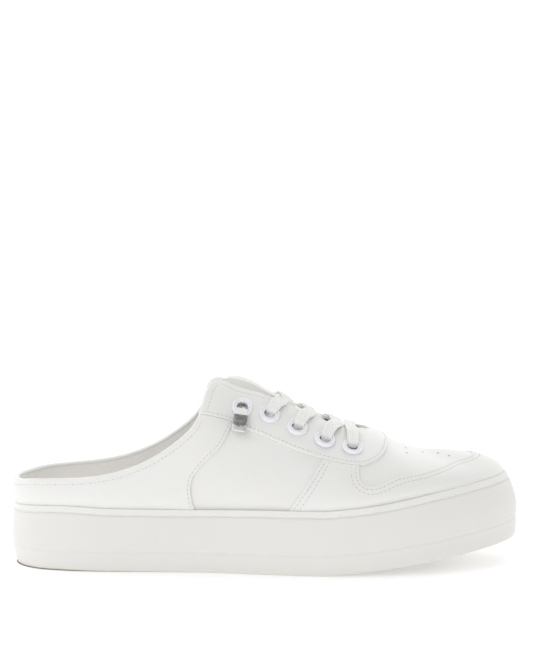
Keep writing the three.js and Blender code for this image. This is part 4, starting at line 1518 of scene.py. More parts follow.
@dataclass
class Sole:
    """The moulded cupsole, with its lip, groove, faint moulded line, recess and tread."""

    ribs: int = 720
    lip_band: float = 3.5
    groove_width: float = 1.0
    groove_depth: float = 0.6
    line_height: float = 11.0
    line_depth: float = 0.3
    edge_round: float = 1.2
    lip_round: float = 0.35
    tread_depth: float = 2.0
    tread_width: float = 3.0
    tread_pitch: float = 11.0
    tread_margin: float = 9.0
    tread_zones: tuple[tuple[float, float], ...] = ((0.08, 0.28), (0.55, 0.9))

    def profile(self) -> list[tuple[float, float, float]]:
        """The side's rows from below up: rise from the bottom, drop from the lip, inset in mm.

        Returns:
            A row for each ring of the side.
        """
        rows = [(0.0, math.nan, 9.0), (0.0, math.nan, self.edge_round + 0.6)]
        for turn in np.linspace(0, math.pi / 2, 6):
            rows.append((self.edge_round * (1 - math.cos(turn)), math.nan,
                         self.edge_round * (1 - math.sin(turn))))
        rows += [(rise, math.nan, 0.0) for rise in (2.5, 4.5, 6.5, 8.5, 9.8)]
        for part in (-1.0, -0.5, 0.0, 0.5, 1.0):
            rows.append((self.line_height + 0.7 * part, math.nan,
                         self.line_depth * math.cos(part * math.pi / 2) ** 2))
        rows += [(rise, math.nan, 0.0) for rise in (12.4, 14.5, 17.0, 19.5, 22.0, 24.0)]
        rows += [(math.nan, drop, 0.0) for drop in (8.0, 6.4, 5.2, 4.6)]
        for part in np.linspace(1, -1, 9):
            rows.append((math.nan, self.lip_band + part * self.groove_width / 2,
                         self.groove_depth * (1 - abs(part) ** 2.2)))
        rows += [(math.nan, drop, 0.0) for drop in (2.5, 1.8, 1.1)]
        for turn in np.linspace(0, math.pi / 2, 6):
            rows.append((math.nan, self.lip_round * (1 - math.sin(turn)),
                         self.lip_round * (1 - math.cos(turn))))
        return rows

    def build(self, rubber: "Finish", band: "Finish") -> bpy.types.Object:
        """The sole as one mesh: side, recess and tread, with the lip's band in a lighter shade.

        Args:
            rubber: the sole's finish.
            band: the lip's finish.

        Returns:
            The finished object.
        """
        angles = np.linspace(0, 2 * np.pi, self.ribs, endpoint=False)
        share = (1 - np.cos(angles)) / 2
        bottom, lip = LAST.bottom(share), LAST.lip(share)
        rows = []
        for rise, drop, inset in self.profile():
            height = lip - drop if math.isnan(rise) else bottom + rise
            plan = LAST.inset(angles, LAST.wall_inset(share, height) + inset)
            rows.append(np.concatenate([plan, height[:, None]], -1))
        recess = LAST.top_inset(share) + LAST.lip_thickness + LAST.clearance + 0.15
        for height in (lip - 0.05, lip - 1.0, LAST.floor(share)):
            plan = LAST.inset(angles, recess)
            rows.append(np.concatenate([plan, height[:, None]], -1))
        middle = LAST.ball_width * OUTLINE.read("middle", share)
        for part in (0.6, 0.2, 0.0):
            flat = np.stack([plan[:, 0], middle + (plan[:, 1] - middle) * part], -1)
            rows.append(np.concatenate([flat, LAST.floor(share)[:, None]], -1))
        piece = Piece("cupsole")
        piece.grid(np.stack(rows), around=True)
        drops = [drop for _, drop, _ in self.profile()]
        first = next(i for i, drop in enumerate(drops) if drop <= self.lip_band)
        piece.finishes[first * self.ribs :] = [1] * (len(piece.finishes) - first * self.ribs)
        self.tread(piece)
        materials = [rubber.material(), band.material()]
        return piece.build(materials, "sole_rubber", ["sole"], 0.0, 0.01)

    def tread(self, piece: Piece) -> None:
        """Adds the underside with its straight grooves across heel and forefoot.

        Args:
            piece: the sole, which it is added to.
        """
        angles = np.linspace(0, np.pi, 400)
        near = LAST.inset(angles, self.tread_margin - 1.0)
        far = LAST.inset(2 * np.pi - angles, self.tread_margin - 1.0)
        low, high = near[0, 0] + 0.01, near[-1, 0] - 0.01
        edges = []
        for start, end in self.tread_zones:
            count = int((end - start) * LAST.length // self.tread_pitch)
            first = LAST.place_of(start)
            edges += [(first + k * self.tread_pitch, first + k * self.tread_pitch + self.tread_width)
                      for k in range(count)]
        x = [*np.linspace(low, high, 130)]
        for start, end in edges:
            x = [one for one in x if not start - 0.7 < one < end + 0.7]
            x += [start - 0.3, start, start + 0.25, end - 0.25, end, end + 0.3]
        x = np.array(sorted(one for one in x if low <= one <= high))
        depth = np.zeros(len(x))
        for start, end in edges:
            depth[(x >= start + 0.2) & (x <= end - 0.2)] = self.tread_depth
        across = np.r_[-1, np.linspace(-0.999, 0.999, 30), 1]
        y0, y1 = np.interp(x, near[:, 0], near[:, 1]), np.interp(x, far[:, 0], far[:, 1])
        part = (across + 1) / 2
        y = y0[:, None] + (y1 - y0)[:, None] * part[None]
        inner = np.minimum(y - y0[:, None], y1[:, None] - y)
        ramp = np.clip((inner - 1.0) / 0.4, 0, 1)
        z = LAST.bottom(LAST.share_of(x))[:, None] + depth[:, None] * ramp
        grid = np.stack([np.repeat(x[:, None], y.shape[1], 1), y, z], -1)
        piece.grid(grid)


@dataclass
class Eyelets:
    """Moulded plastic rings, turned on a fine profile with two rounded crests."""

    sides: int = 48
    profile: tuple[tuple[float, float], ...] = (
        (2.95, -0.45), (2.95, 2.2), (3.0, 2.6), (3.12, 2.95), (3.32, 3.18), (3.55, 3.25), (3.78, 3.16),
        (3.92, 2.98), (4.05, 2.9), (4.2, 2.98), (4.36, 3.26), (4.6, 3.46), (4.85, 3.5), (5.1, 3.4),
        (5.35, 3.14), (5.55, 2.75), (5.68, 2.3), (5.72, 1.8), (5.68, 1.4), (3.75, 1.4), (3.7, -0.45),
    )

    def build(self, plastic: "Finish") -> list[bpy.types.Object]:
        """Sets an eyelet in each of the eyestay's holes.

        Args:
            plastic: the eyelets' finish.

        Returns:
            The finished objects.
        """
        made = []
        for side in Side:
            for index in range(PATTERN.eyelets):
                place = PATTERN.eyelet(index, side)
                centre, normal = LAST.rib(*place), LAST.normal(*place)
                first = unit(np.cross(normal, np.array([0.0, 0.0, 1.0])))
                second = np.cross(normal, first)
                turn = np.linspace(0, 2 * np.pi, self.sides, endpoint=False)
                round_ = np.cos(turn)[:, None] * first + np.sin(turn)[:, None] * second
                rows = [centre + radius * round_ + height * normal for radius, height in self.profile]
                piece = Piece(f"eyelet_ring_{side.name.lower()}_{index + 1}")
                piece.grid(np.stack([*rows, rows[0]]), around=True)
                node = f"eyelet_{side.name.lower()}_{index + 1}"
                made.append(piece.build([plastic.material()], "eyelet_plastic", [node], 0.0, 0.001))
        return made


class Wire:
    """A shader socket that can be reckoned with like a number."""

    def __init__(self, graph: "Graph", socket: bpy.types.NodeSocket) -> None:
        """Wraps a socket of a graph."""
        self.graph, self.socket = graph, socket

    def reckon(self, operation: str, *values: "Value", clamp: bool = False) -> "Wire":
        """One Math node.

        Args:
            operation: the node's operation.
            values: its inputs, in order.
            clamp: whether the result is held between 0 and 1.

        Returns:
            The node's output.
        """
        made = self.graph.tree.nodes.new("ShaderNodeMath")
        made.operation, made.use_clamp = operation, clamp
        for socket, value in zip(made.inputs, values):
            self.graph.feed(socket, value)
        return Wire(self.graph, made.outputs[0])

    def __add__(self, other: "Value") -> "Wire":
        """This plus another value."""
        return self.reckon("ADD", self, other)

    def __sub__(self, other: "Value") -> "Wire":
        """This minus another value."""
        return self.reckon("SUBTRACT", self, other)

    def __rsub__(self, other: "Value") -> "Wire":
        """Another value minus this."""
        return self.reckon("SUBTRACT", other, self)

    def __mul__(self, other: "Value") -> "Wire":
        """This times another value."""
        return self.reckon("MULTIPLY", self, other)

    def __truediv__(self, other: "Value") -> "Wire":
        """This divided by another value."""
        return self.reckon("DIVIDE", self, other)

    def __rtruediv__(self, other: "Value") -> "Wire":
        """Another value divided by this."""
        return self.reckon("DIVIDE", other, self)

    def __pow__(self, other: "Value") -> "Wire":
        """This to a power."""
        return self.reckon("POWER", self, other)

    __radd__ = __add__
    __rmul__ = __mul__

    def ramp(self, low: "Value", high: "Value") -> "Wire":
        """From 0 at the low value to 1 at the high one, held between them."""
        return self.reckon("DIVIDE", self - low, high - low if isinstance(low, (int, float)) else
                           self.reckon("SUBTRACT", high, low), clamp=True)

    def sine(self) -> "Wire":
        """The sine of this."""
        return self.reckon("SINE", self)


Value = Union[Wire, float, tuple]


class Graph:
    """The nodes of one material or world."""

    def __init__(self, tree: bpy.types.NodeTree) -> None:
        """Takes over an empty node tree."""
        self.tree = tree
        tree.nodes.clear()

    def feed(self, socket: bpy.types.NodeSocket, value: Value) -> None:
        """Sets a socket's value or links it.

        Args:
            socket: the input.
            value: a plain value, or another node's output.
        """
        if isinstance(value, Wire):
            self.tree.links.new(value.socket, socket)
        elif isinstance(value, tuple) and socket.type == "RGBA":
            socket.default_value = (*value[:3], 1.0)
        else:
            socket.default_value = value

    def node(self, kind: str, settings: dict | None = None, out: str | int = 0, **inputs: Value) -> Wire:
        """Any node.

        Args:
            kind: the node's type, without ShaderNode.
            settings: properties of the node, set before its sockets.
            out: the output wanted.
            inputs: values or links by socket name, with _ for a space, or by i and a number.

        Returns:
            The output.
        """
        made = self.tree.nodes.new(f"ShaderNode{kind}")
        for key, value in (settings or {}).items():
            setattr(made, key, value)
        for key, value in inputs.items():
            name = key.replace("_", " ")
            socket = made.inputs[int(key[1:])] if key[1:].isdigit() else made.inputs[name]
            self.feed(socket, value)
        return Wire(self, made.outputs[out])

    def place(self) -> Wire:
        """The place on the object, in metres."""
        return self.node("TexCoord", out="Object")

    def noise(self, scale: float, detail: float = 3.0, vector: Value | None = None) -> Wire:
        """Soft noise of a scale per metre."""
        vector = vector or self.place()
        return self.node("TexNoise", Vector=vector, Scale=scale, Detail=detail, Roughness=0.55)

    def mixed(self, factor: Value, first: tuple, second: tuple) -> Wire:
        """A colour between two."""
        return self.node("Mix", {"data_type": "RGBA"}, 2, i0=factor, i6=first, i7=second)

    def bump(self, height: Value, distance: float, strength: float, normal: Value | None = None) -> Wire:
        """A bumped normal, with the height's full distance in mm."""
        extra = {"Normal": normal} if normal else {}
        return self.node("Bump", Height=height, Distance=distance * MM, Strength=strength, **extra)

    def surface(self, **inputs: Value) -> None:
        """Ends the graph in a Principled BSDF with some sockets set."""
        shader = self.node("BsdfPrincipled", **inputs)
        self.node_output("OutputMaterial", shader)

    def node_output(self, kind: str, shader: Wire) -> None:
        """Links a shader to the output."""
        made = self.tree.nodes.new(f"ShaderNode{kind}")
        self.tree.links.new(shader.socket, made.inputs["Surface"])


@dataclass(frozen=True)
class Finish:
    """A surface's finish; each kind fills a graph of its own."""

    name: str
    color: tuple[float, float, float]
    roughness: float = 0.5

    def material(self) -> bpy.types.Material:
        """The Blender material, made once.

        Returns:
            The material.
        """
        found = bpy.data.materials.get(self.name)
        if found:
            return found
        made = bpy.data.materials.new(self.name)
        made.use_nodes = True
        self.dress(Graph(made.node_tree))
        return made

    def dress(self, graph: Graph) -> None:
        """Fills the graph."""
        graph.surface(Base_Color=self.color, Roughness=self.roughness)


@dataclass(frozen=True)
class SmoothLeather(Finish):
    """White coated leather with a fine pebble grain and a soft gloss."""

    grain: float = 1500.0
    depth: float = 0.05
    coat: float = 0.12

    def dress(self, graph: Graph) -> None:
        """Fine cells and hair pores in the bump, faint unevenness in tone and gloss.

        Args:
            graph: the material's node graph.
        """
        cells = graph.node("TexVoronoi", {"feature": "SMOOTH_F1"}, "Distance", Vector=graph.place(),
                           Scale=self.grain, Smoothness=0.6)
        fine, broad = graph.noise(self.grain * 2.2), graph.noise(38.0)
        height = cells * 0.7 + fine * 0.3
        warm = tuple(part * shade for part, shade in zip(self.color, (0.985, 0.98, 0.968)))
        graph.surface(
            Base_Color=graph.mixed(broad.ramp(0.35, 0.7), self.color, warm),
            Roughness=self.roughness + (broad - 0.5) * 0.12 + (fine - 0.5) * 0.1,
            Coat_Weight=self.coat,
            Coat_Roughness=0.35,
            Normal=graph.bump(height, self.depth, 0.6),
        )


@dataclass(frozen=True)
class MattRubber(Finish):
    """Off-white rubber, matt, with a fine moulded unevenness, a cloudy tone and painted shade low down near
    the floor.
    """

    def dress(self, graph: Graph) -> None:
        """Fine noise in the bump, cloudy tone, and painted shade darkening it near the floor.

        Args:
            graph: the material's node graph.
        """
        fine, cloud = graph.noise(900.0), graph.noise(26.0, 4.0)
        low = graph.node("SeparateXYZ", out=2, Vector=graph.place())
        # Painted shade: the colour darkens over the lowest 6 mm, next to the floor; the cloud adds a random
        # darker tone.
        floor_shade_and_cloud = (1 - low.ramp(0.0, 0.006)) * 0.6 + cloud.ramp(0.5, 0.8) * 0.4
        shade_and_cloud_tone = tuple(part * shade for part, shade in zip(self.color, (0.965, 0.955, 0.93)))
        graph.surface(
            Base_Color=graph.mixed(floor_shade_and_cloud, self.color, shade_and_cloud_tone),
            Roughness=self.roughness + (cloud - 0.5) * 0.15,
            Normal=graph.bump(fine * 0.7 + cloud * 0.3, 0.06, 0.35),
        )


@dataclass(frozen=True)
class Twill(Finish):
    """Woven lining with fine diagonal ribs."""

    pitch: float = 0.95

    def dress(self, graph: Graph) -> None:
        """Slanting waves, broken along their length, in the bump and faintly in the tone.

        Args:
            graph: the material's node graph.
        """
        x = graph.node("SeparateXYZ", out=0, Vector=graph.place())
        y = graph.node("SeparateXYZ", out=1, Vector=graph.place())
        z = graph.node("SeparateXYZ", out=2, Vector=graph.place())
        turns = 2 * math.pi / (self.pitch * MM)
        ribs = ((x * 0.75 + z * 0.66 + y * 0.4) * turns).sine() * 0.5 + 0.5
        beads = ((x * 0.66 - z * 0.75) * (turns * 0.8)).sine() * 0.5 + 0.5
        fuzz = graph.noise(2600.0)
        dark = tuple(part * 0.9 for part in self.color)
        graph.surface(
            Base_Color=graph.mixed((1 - ribs) * 0.4 + fuzz * 0.1, self.color, dark),
            Roughness=self.roughness,
            Normal=graph.bump(ribs * (0.75 + beads * 0.25) + fuzz * 0.15, 0.16, 0.5),
        )


@dataclass(frozen=True)
class ElasticWeave(Finish):
    """Flat woven elastic: fine picks across its ribs."""

    pick: float = 0.55

    def dress(self, graph: Graph) -> None:
        """Rows across the run of the lace, from its own coordinates, with a little fuzz.

        Args:
            graph: the material's node graph.
        """
        run = graph.node("SeparateXYZ", out=0, Vector=graph.node("UVMap", {"uv_map": "run"}))
        across = graph.node("SeparateXYZ", out=1, Vector=graph.node("UVMap", {"uv_map": "run"}))
        rows = (run * (2 * math.pi / self.pick)).sine() * 0.5 + 0.5
        threads = (across * (2 * math.pi) + math.pi / 2).sine() * 0.5 + 0.5
        fuzz = graph.noise(3200.0)
        dark = tuple(part * 0.88 for part in self.color)
        graph.surface(
            Base_Color=graph.mixed((1 - threads) ** 2.0 * 0.8 + rows * 0.1, self.color, dark),
            Roughness=self.roughness,
            Normal=graph.bump(rows * 0.5 + threads * 0.3 + fuzz * 0.3, 0.16, 0.6),
        )


@dataclass(frozen=True)
class GlossPlastic(Finish):
    """Glossy moulded plastic with a bluish cast."""

    def dress(self, graph: Graph) -> None:
        """A clear coat over a faintly uneven body.

        Args:
            graph: the material's node graph.
        """
        cloud = graph.noise(400.0)
        graph.surface(
            Base_Color=graph.mixed(cloud * 0.4, self.color, tuple(part * 0.94 for part in self.color)),
            Roughness=self.roughness,
            Coat_Weight=0.6,
            Coat_Roughness=0.08,
            Normal=graph.bump(cloud, 0.04, 0.3),
        )


@dataclass(frozen=True)
class ScuffedMetal(Finish):
    """Bright flat metal, rubbed and mottled."""

    def dress(self, graph: Graph) -> None:
        """Dark and mottled above, bright and banded below.

        Args:
            graph: the material's node graph.
        """
        place = graph.node("UVMap", {"uv_map": "run"})
        run = graph.node("SeparateXYZ", out=0, Vector=place)
        across = graph.node("SeparateXYZ", out=1, Vector=place)
        spots, fine = graph.noise(700.0, 4.0), graph.noise(2600.0)
        bow = across * across * 0.12
        bright = (run + bow + (spots - 0.5) * 0.25).ramp(0.66, 0.74)
        bands = (run * 46.0).sine() * 0.5 + 0.5
        rubbed = (spots * 0.6 + fine * 0.4).ramp(0.42, 0.66) * 0.45
        tone = rubbed * (1 - bright) + bright * (0.75 + bands * 0.25)
        dark = tuple(part * 0.3 for part in self.color)
        graph.surface(
            Base_Color=graph.mixed(tone, dark, self.color),
            Metallic=1.0,
            Roughness=self.roughness + spots * 0.15,
            Normal=graph.bump(bands * bright * 0.5 + fine * 0.5 + spots * 0.5, 0.08, 0.6),
        )


@dataclass(frozen=True)
class Backdrop(Finish):
    """Plain white paper that glows a little, so it reads as pure white."""

    glow: float = 0.2

    def dress(self, graph: Graph) -> None:
        """A white diffuse surface with a faint glow."""
        graph.surface(Base_Color=self.color, Roughness=self.roughness,
                      Emission_Color=(1.0, 1.0, 1.0), Emission_Strength=self.glow)


LEATHER = SmoothLeather("white_leather_coated", (0.862, 0.86, 0.842), 0.44)
RUBBER = MattRubber("off_white_rubber", (0.83, 0.815, 0.785), 0.6)
LIP = MattRubber("off_white_lip", (0.86, 0.855, 0.835), 0.55)
LINING = Twill("lining_twill", (0.975, 0.96, 0.93), 0.9)
# A beige twill like the lining, made darker and browner: the extra darkness is painted shade of the tongue's
# underside and the gaps between the laces.
TONGUE_CLOTH = Twill("tongue_cloth_painted_shade", (0.78, 0.76, 0.715), 0.9)
FOOTBED = Twill("footbed_cloth", (0.88, 0.865, 0.83), 0.9, 1.3)
WEAVE = ElasticWeave("elastic_weave", (0.93, 0.925, 0.905), 0.9)
PLASTIC = GlossPlastic("eyelet_gloss", (0.89, 0.9, 0.94), 0.2)
METAL = ScuffedMetal("tip_metal_scuffed", (0.8, 0.8, 0.79), 0.3)
THREAD = Finish("thread_white", (0.8, 0.8, 0.79), 0.7)
# Dark grey painted shade for the needle holes, laid on flat discs.
NEEDLE_HOLE_SHADE = Finish("needle_hole_painted_shade", (0.45, 0.44, 0.41), 0.9)
# Dark grey painted shade for the vamp's perforations, laid on flat discs.
PERFORATION_SHADE = Finish("perforation_painted_shade", (0.42, 0.41, 0.38), 0.9)
# A dark sheet under the sole's edge: painted contact shadow.
SHADE = Backdrop("painted_contact_shadow", (0.36, 0.35, 0.31), 0.9, 0.0)
PAPER = Backdrop("white_paper", (0.93, 0.93, 0.93), 0.9, 0.25)
WALL = Backdrop("white_wall", (0.5, 0.5, 0.5), 0.9, 1.0)


@dataclass
class Studio:
    """The white floor, the soft lights and the camera of the photo."""

    lens: float = 117.5
    sensor: float = 36.0
    eye: tuple[float, float, float] = (0.00055, -1.1852, 0.2327)
    look_down: float = 5.18
    floor_size: float = 60.0
    world: float = 0.5
    wall_back: float = 2.5
    wall_size: float = 30.0
    shade_turn: float = 1.7
    lights: tuple[tuple[str, tuple[float, float, float], float, float], ...] = (
        ("front", (-0.5, -2.5, 0.8), 2.0, 9.5),
        ("heel", (-1.2, -1.1, 1.8), 1.6, 8.0),
        ("above", (0.1, 0.2, 2.2), 2.0, 1.0),
    )

    def build(self) -> None:
        """Sets the floor, the lights and the camera."""
        half = self.floor_size / 2
        back = self.wall_back
        self.sheet("floor", PAPER, [(-half, -half, 0), (half, -half, 0), (half, half, 0), (-half, half, 0)])
        wide = self.wall_size
        self.sheet("wall", WALL, [(-wide, back, 0), (wide, back, 0), (wide, back, wide), (-wide, back, wide)])
        # A dark sheet just inside the sole's outline, from the heel to about the middle of the shoe: painted
        # contact shadow under the sole's edge.
        turn = np.linspace(-self.shade_turn, self.shade_turn, 120)
        outline = LAST.inset(turn, 1.9) * MM
        self.sheet("painted_contact_shadow_sheet", SHADE, [(float(x), float(y), 0.0002) for x, y in outline])
        world = bpy.data.worlds.new("white_room")
        world.use_nodes = True
        graph = Graph(world.node_tree)
        graph.node_output("OutputWorld", graph.node("Background", Color=(1.0, 1.0, 1.0),
                                                    Strength=self.world))
        bpy.context.scene.world = world
        for light in self.lights:
            self.softbox(*light)
        data = bpy.data.cameras.new("photo_camera")
        data.lens, data.sensor_width = self.lens, self.sensor
        camera = bpy.data.objects.new("photo_camera", data)
        camera.location = self.eye
        camera.rotation_euler = (math.radians(90 - self.look_down), 0, 0)
        bpy.context.scene.collection.objects.link(camera)
        bpy.context.scene.camera = camera
        bpy.context.scene.view_settings.view_transform = "Standard"

    def sheet(self, name: str, finish: Finish, corners: list[tuple[float, float, float]]) -> None:
        """One flat sheet of the backdrop.

        Args:
            name: its name.
            finish: its finish.
            corners: its corners in m, in order.
        """
        mesh = bpy.data.meshes.new(name)
        mesh.from_pydata(corners, [], [range(len(corners))])
        mesh.materials.append(finish.material())
        made = bpy.data.objects.new(name, mesh)
        bpy.context.scene.collection.objects.link(made)

    def softbox(self, name: str, place: tuple[float, float, float], size: float, power: float) -> None:
        """A square soft light that looks at the shoe.

        Args:
            name: its name.
            place: where it stands, in m.
            size: its edge in m.
            power: its power in W.
        """
        data = bpy.data.lights.new(name, "AREA")
        data.size, data.energy = size, power
        light = bpy.data.objects.new(name, data)
        light.location = place
        light.rotation_euler = (-Vector(place)).to_track_quat("-Z", "Y").to_euler()
        bpy.context.scene.collection.objects.link(light)


@dataclass(frozen=True)
class Row:
    """A point that a lace is led through: its middle, the way across it and its width in mm."""

    middle: Array
    across: Array
    width: float


# A strand over the throat, much as the source has it: how far across (-2 the eyelet, -1 the throat's edge,
# 0 the middle), how far forward as a share of the eyelets' spacing, height over the last or, past the
# throat's edge, over the tongue, and width in mm
STRAND = (
    (-1.5, 0.2, 4.15, 6.9), (-1.12, 0.38, 2.6, 7.3), (-0.92, 0.44, 1.9, 7.3), (-0.74, 0.48, 3.4, 7.2),
    (-0.52, 0.52, 1.5, 7.0), (-0.26, 0.57, 1.2, 7.0), (0.0, 0.63, 1.2, 7.0), (0.26, 0.69, 1.2, 7.0),
    (0.52, 0.77, 1.2, 6.8), (0.78, 0.86, 1.2, 6.6), (1.0, 0.93, 1.7, 6.2), (1.4, 0.98, -1.3, 5.6),
)
ON_TONGUE = (-0.8, 1.2)

# A metal tip from its upper end down: how far down, of a run of 10.2, and its breadth as a share
TIP_STEPS = (
    (0, 0.0), (0, 0.7), (0.12, 0.9), (0.4, 1.0), (1.2, 1.0), (2.2, 1.0), (3.2, 0.97), (4.4, 0.9),
    (5.2, 0.86), (5.8, 0.95), (6.2, 1.02), (7.0, 1.04), (8.0, 1.03), (9.0, 1.0), (9.7, 0.97),
    (10.05, 0.88), (10.2, 0.7), (10.2, 0.0),
)
TIP_RUN = TIP_STEPS[-1][0]


@dataclass
class Laces:
    """Two flat elastic laces, each one band through the eyelets to its metal tip."""

    thickness: float = 1.4
    hole_width: float = 5.0
    stack: float = 1.4
    crossing_share: float = 0.6
    ring_step: float = 0.7
    ribs: int = 6
    rib_depth: float = 0.17
    face: int = 37
    end_drop: float = 7.0
    tip_start: float = 4.95
    tip_length: float = 7.95
    tip_width: float = 7.5
    tip_thickness: float = 2.2
    tip_height: float = 4.75
    lean: float = 0.16

    def across_places(self, x: Array, across: Array, side: Side, index: int) -> Array:
        """The places at shares of the way across the throat, counted from one side's eyelet.

        Args:
            x: how far forward each place lies, in mm.
            across: shares: -2 the eyelet, -1 the edge, 0 the middle.
            side: the side of the shoe.
            index: the eyelet's number from the top, from 0.

        Returns:
            Rows of angle and level.
        """
        middle, edge = LAST.middle(x), LAST.throat_half(x)
        towards = np.where(across <= 0, side.value, -side.value)
        gaps = {
            one.value: abs(float(LAST.rib(*PATTERN.eyelet(index, one))[1]) - middle) for one in Side
        }
        eyelet = np.where(towards < 0, gaps[-1], gaps[1])
        part = np.abs(across)
        distance = np.where(part < 1, part * edge, edge + (part - 1) * (eyelet - edge))
        return LAST.seek(x, middle + towards * distance, towards, 1)

    def strand(self, index: int, side: Side) -> list[Row]:
        """The rows of a strand from an eyelet over the throat to under the other edge.

        Args:
            index: the eyelet's number from the top, from 0.
            side: the side of the shoe.

        Returns:
            The rows in order.
        """
        start = float(LAST.rib(*PATTERN.eyelet(index, side))[0])
        spacing = float(LAST.rib(*PATTERN.eyelet(index + 1, side))[0]) - start
        across, forward, height, widths = np.array(STRAND).T
        x = start + forward * spacing
        places = self.across_places(x, across, side, index)
        low, high = ON_TONGUE
        height = height + np.where((across > low) & (across < high), tongue_top(x), 0.0)
        if side is Side.MEDIAL:
            height = height + np.where(np.abs(across) < self.crossing_share, self.stack, 0.0)
        return self.rows(places, height, widths)

    def bar(self) -> list[Row]:
        """The rows of the front bar, from the lateral eyelet straight across to the medial one.

        Returns:
            The rows in order.
        """
        index = PATTERN.eyelets - 1
        x = float(LAST.rib(*PATTERN.eyelet(index, Side.LATERAL))[0])
        half = ((-1.5, 4.1, 6.6), (-1.12, 2.7, 7.0), (-0.92, 2.2, 7.0), (-0.72, 1.5, 7.0),
                (-0.45, 0.7, 7.0), (-0.15, 0.4, 7.0))
        across, height, widths = np.array([*half, *((-a, h, w) for a, h, w in half[::-1])]).T
        places = self.across_places(np.full(len(across), x), across, Side.LATERAL, index)
        return self.rows(places, height, widths)

    def rows(self, places: Array, height: Array, widths: Array) -> list[Row]:
        """Rows at heights over the last whose way across lies flat on it."""
        normals = LAST.normal(*places.T)
        points = LAST.rib(*places.T) + normals * height[:, None]
        across = unit(np.cross(normals, np.gradient(points, axis=0)))
        return [Row(*row) for row in zip(points, across, widths)]

    def hole(self, index: int, side: Side, outer: Row, below: Row | None) -> list[Row]:
        """The rows down through an eyelet, from the strand outside to the run inside.

        Args:
            index: the eyelet's number from the top, from 0.
            side: the side of the shoe.
            outer: the last row outside.
            below: the first row inside, where there is one.

        Returns:
            The rows, from outside to inside.
        """
        place = PATTERN.eyelet(index, side)
        centre, normal = LAST.rib(*place), LAST.normal(*place)
        out = outer.middle - centre
        out = unit(out - normal * out.dot(normal))
        across = unit(np.cross(normal, out))
        rows = [
            Row(centre + normal * 3.8 + out * 2.7, across, 6.0),
            Row(centre + normal * 2.5 + out * 1.7, across, 5.5),
            Row(centre + normal * 0.6 + out * 1.2, across, self.hole_width),
        ]
        if below is not None:
            under = below.middle - centre
            under = unit(under - normal * under.dot(normal))
            rows.append(Row(centre - normal * 1.1 + under * 1.0, unit(np.cross(normal, under)), 5.0))
        return rows

    def lateral(self) -> list[Row]:
        """The route of the lace whose tip hangs on the lateral side.

        Returns:
            The rows, from the front bar to the hanging end.
        """
        near, far = Side.LATERAL, Side.MEDIAL
        bar, a3, b2, a1 = self.bar(), self.strand(3, near), self.strand(2, far), self.strand(1, near)
        rows = self.hole(4, near, bar[0], None)[::-1] + bar + self.hole(4, far, bar[-1], a3[-1])
        rows += a3[::-1] + self.hole(3, near, a3[0], b2[-1])
        rows += b2[::-1] + self.hole(2, far, b2[0], a1[-1])
        return rows + a1[::-1] + self.ending(near, self.hole(1, near, a1[0], self.under(near)))

    def medial(self) -> list[Row]:
        """The route of the lace whose tip hangs on the medial side."""
        near, far = Side.LATERAL, Side.MEDIAL
        b3, a2, b1 = self.strand(3, far), self.strand(2, near), self.strand(1, far)
        rows = b3[::-1] + self.hole(3, far, b3[0], a2[-1])
        rows += a2[::-1] + self.hole(2, near, a2[0], b1[-1])
        return rows + b1[::-1] + self.ending(far, self.hole(1, far, b1[0], self.under(far)))

    def under(self, side: Side) -> Row:
        """The row half way between the two top eyelets, inside the eyestay."""
        first, second = PATTERN.eyelet(0, side), PATTERN.eyelet(1, side)
        place = (first + second) / 2
        along = LAST.rib(*first) - LAST.rib(*second)
        normal = LAST.normal(*place)
        return Row(LAST.rib(*place) - normal * 1.3, unit(np.cross(normal, along)), 5.6)

    def ending(self, side: Side, rows: list[Row]) -> list[Row]:
        """The rows inside from the second eyelet up out of the first one and down to the tip.

        Args:
            side: the side of the shoe.
            rows: the lace's rows so far.

        Returns:
            All rows to the hanging end.
        """
        down = self.down(side)
        first = Row(*down[0])
        place = PATTERN.eyelet(0, side)
        centre, normal = LAST.rib(*place), LAST.normal(*place)
        back = unit(self.under(side).middle - centre)
        inside = Row(centre - normal * 1.1 + back * 1.0, self.under(side).across, 5.0)
        hole = self.hole(0, side, first, None)[::-1]
        return rows + [self.under(side), inside] + hole + [Row(*one) for one in down]

    def down(self, side: Side) -> list[tuple[Array, Array, float]]:
        """Middles, ways across and widths down from the top eyelet to the end in the tip."""
        rows = []
        steps = ((3.2, 4.4, 6.5), (5.0, 4.7, 6.8), (self.end_drop, self.tip_height, 6.9))
        for distance, height, width in steps:
            middle, across, _ = self.hanging(side, distance, height)
            rows.append((middle, across, width))
        return rows

    def hanging(self, side: Side, distance: float, height: float) -> tuple[Array, Array, Array]:
        """A point below the top eyelet, the way across and the way out there.

        Args:
            side: the side of the shoe.
            distance: how far below the eyelet, in mm.
            height: the height over the last, in mm.

        Returns:
            The point in mm and the two directions.
        """
        centre = LAST.rib(*PATTERN.eyelet(0, side))
        x, z = centre[0] - self.lean * distance, centre[2] - distance
        place = LAST.seek(x, z, float(side.value)).reshape(2)
        normal = LAST.normal(*place)
        down = unit(np.array([-self.lean, 0.0, -1.0]))
        down = unit(down - normal * down.dot(normal))
        return LAST.rib(*place) + normal * height, unit(np.cross(normal, down)), normal

    def profile(self) -> Array:
        """The section of a band one wide: across, up and the ribs' turn, all the way round.

        Returns:
            A row for each point of the section.
        """
        across = np.cos(np.linspace(np.pi * 0.97, np.pi * 0.03, self.face))
        across = 0.35 * across + 0.65 * np.linspace(-1, 1, self.face)
        rib = 0.5 + 0.5 * np.cos(across * self.ribs * np.pi)
        edge = np.clip((1 - np.abs(across)) / 0.16, 0, 1)
        lift = (self.thickness / 2 - self.rib_depth * (1 - rib)) * (0.35 + 0.65 * np.sqrt(edge))
        top = np.stack([across / 2, lift, across * self.ribs / 2], -1)
        return np.concatenate([top, top[::-1] * [1, -1, 1]])

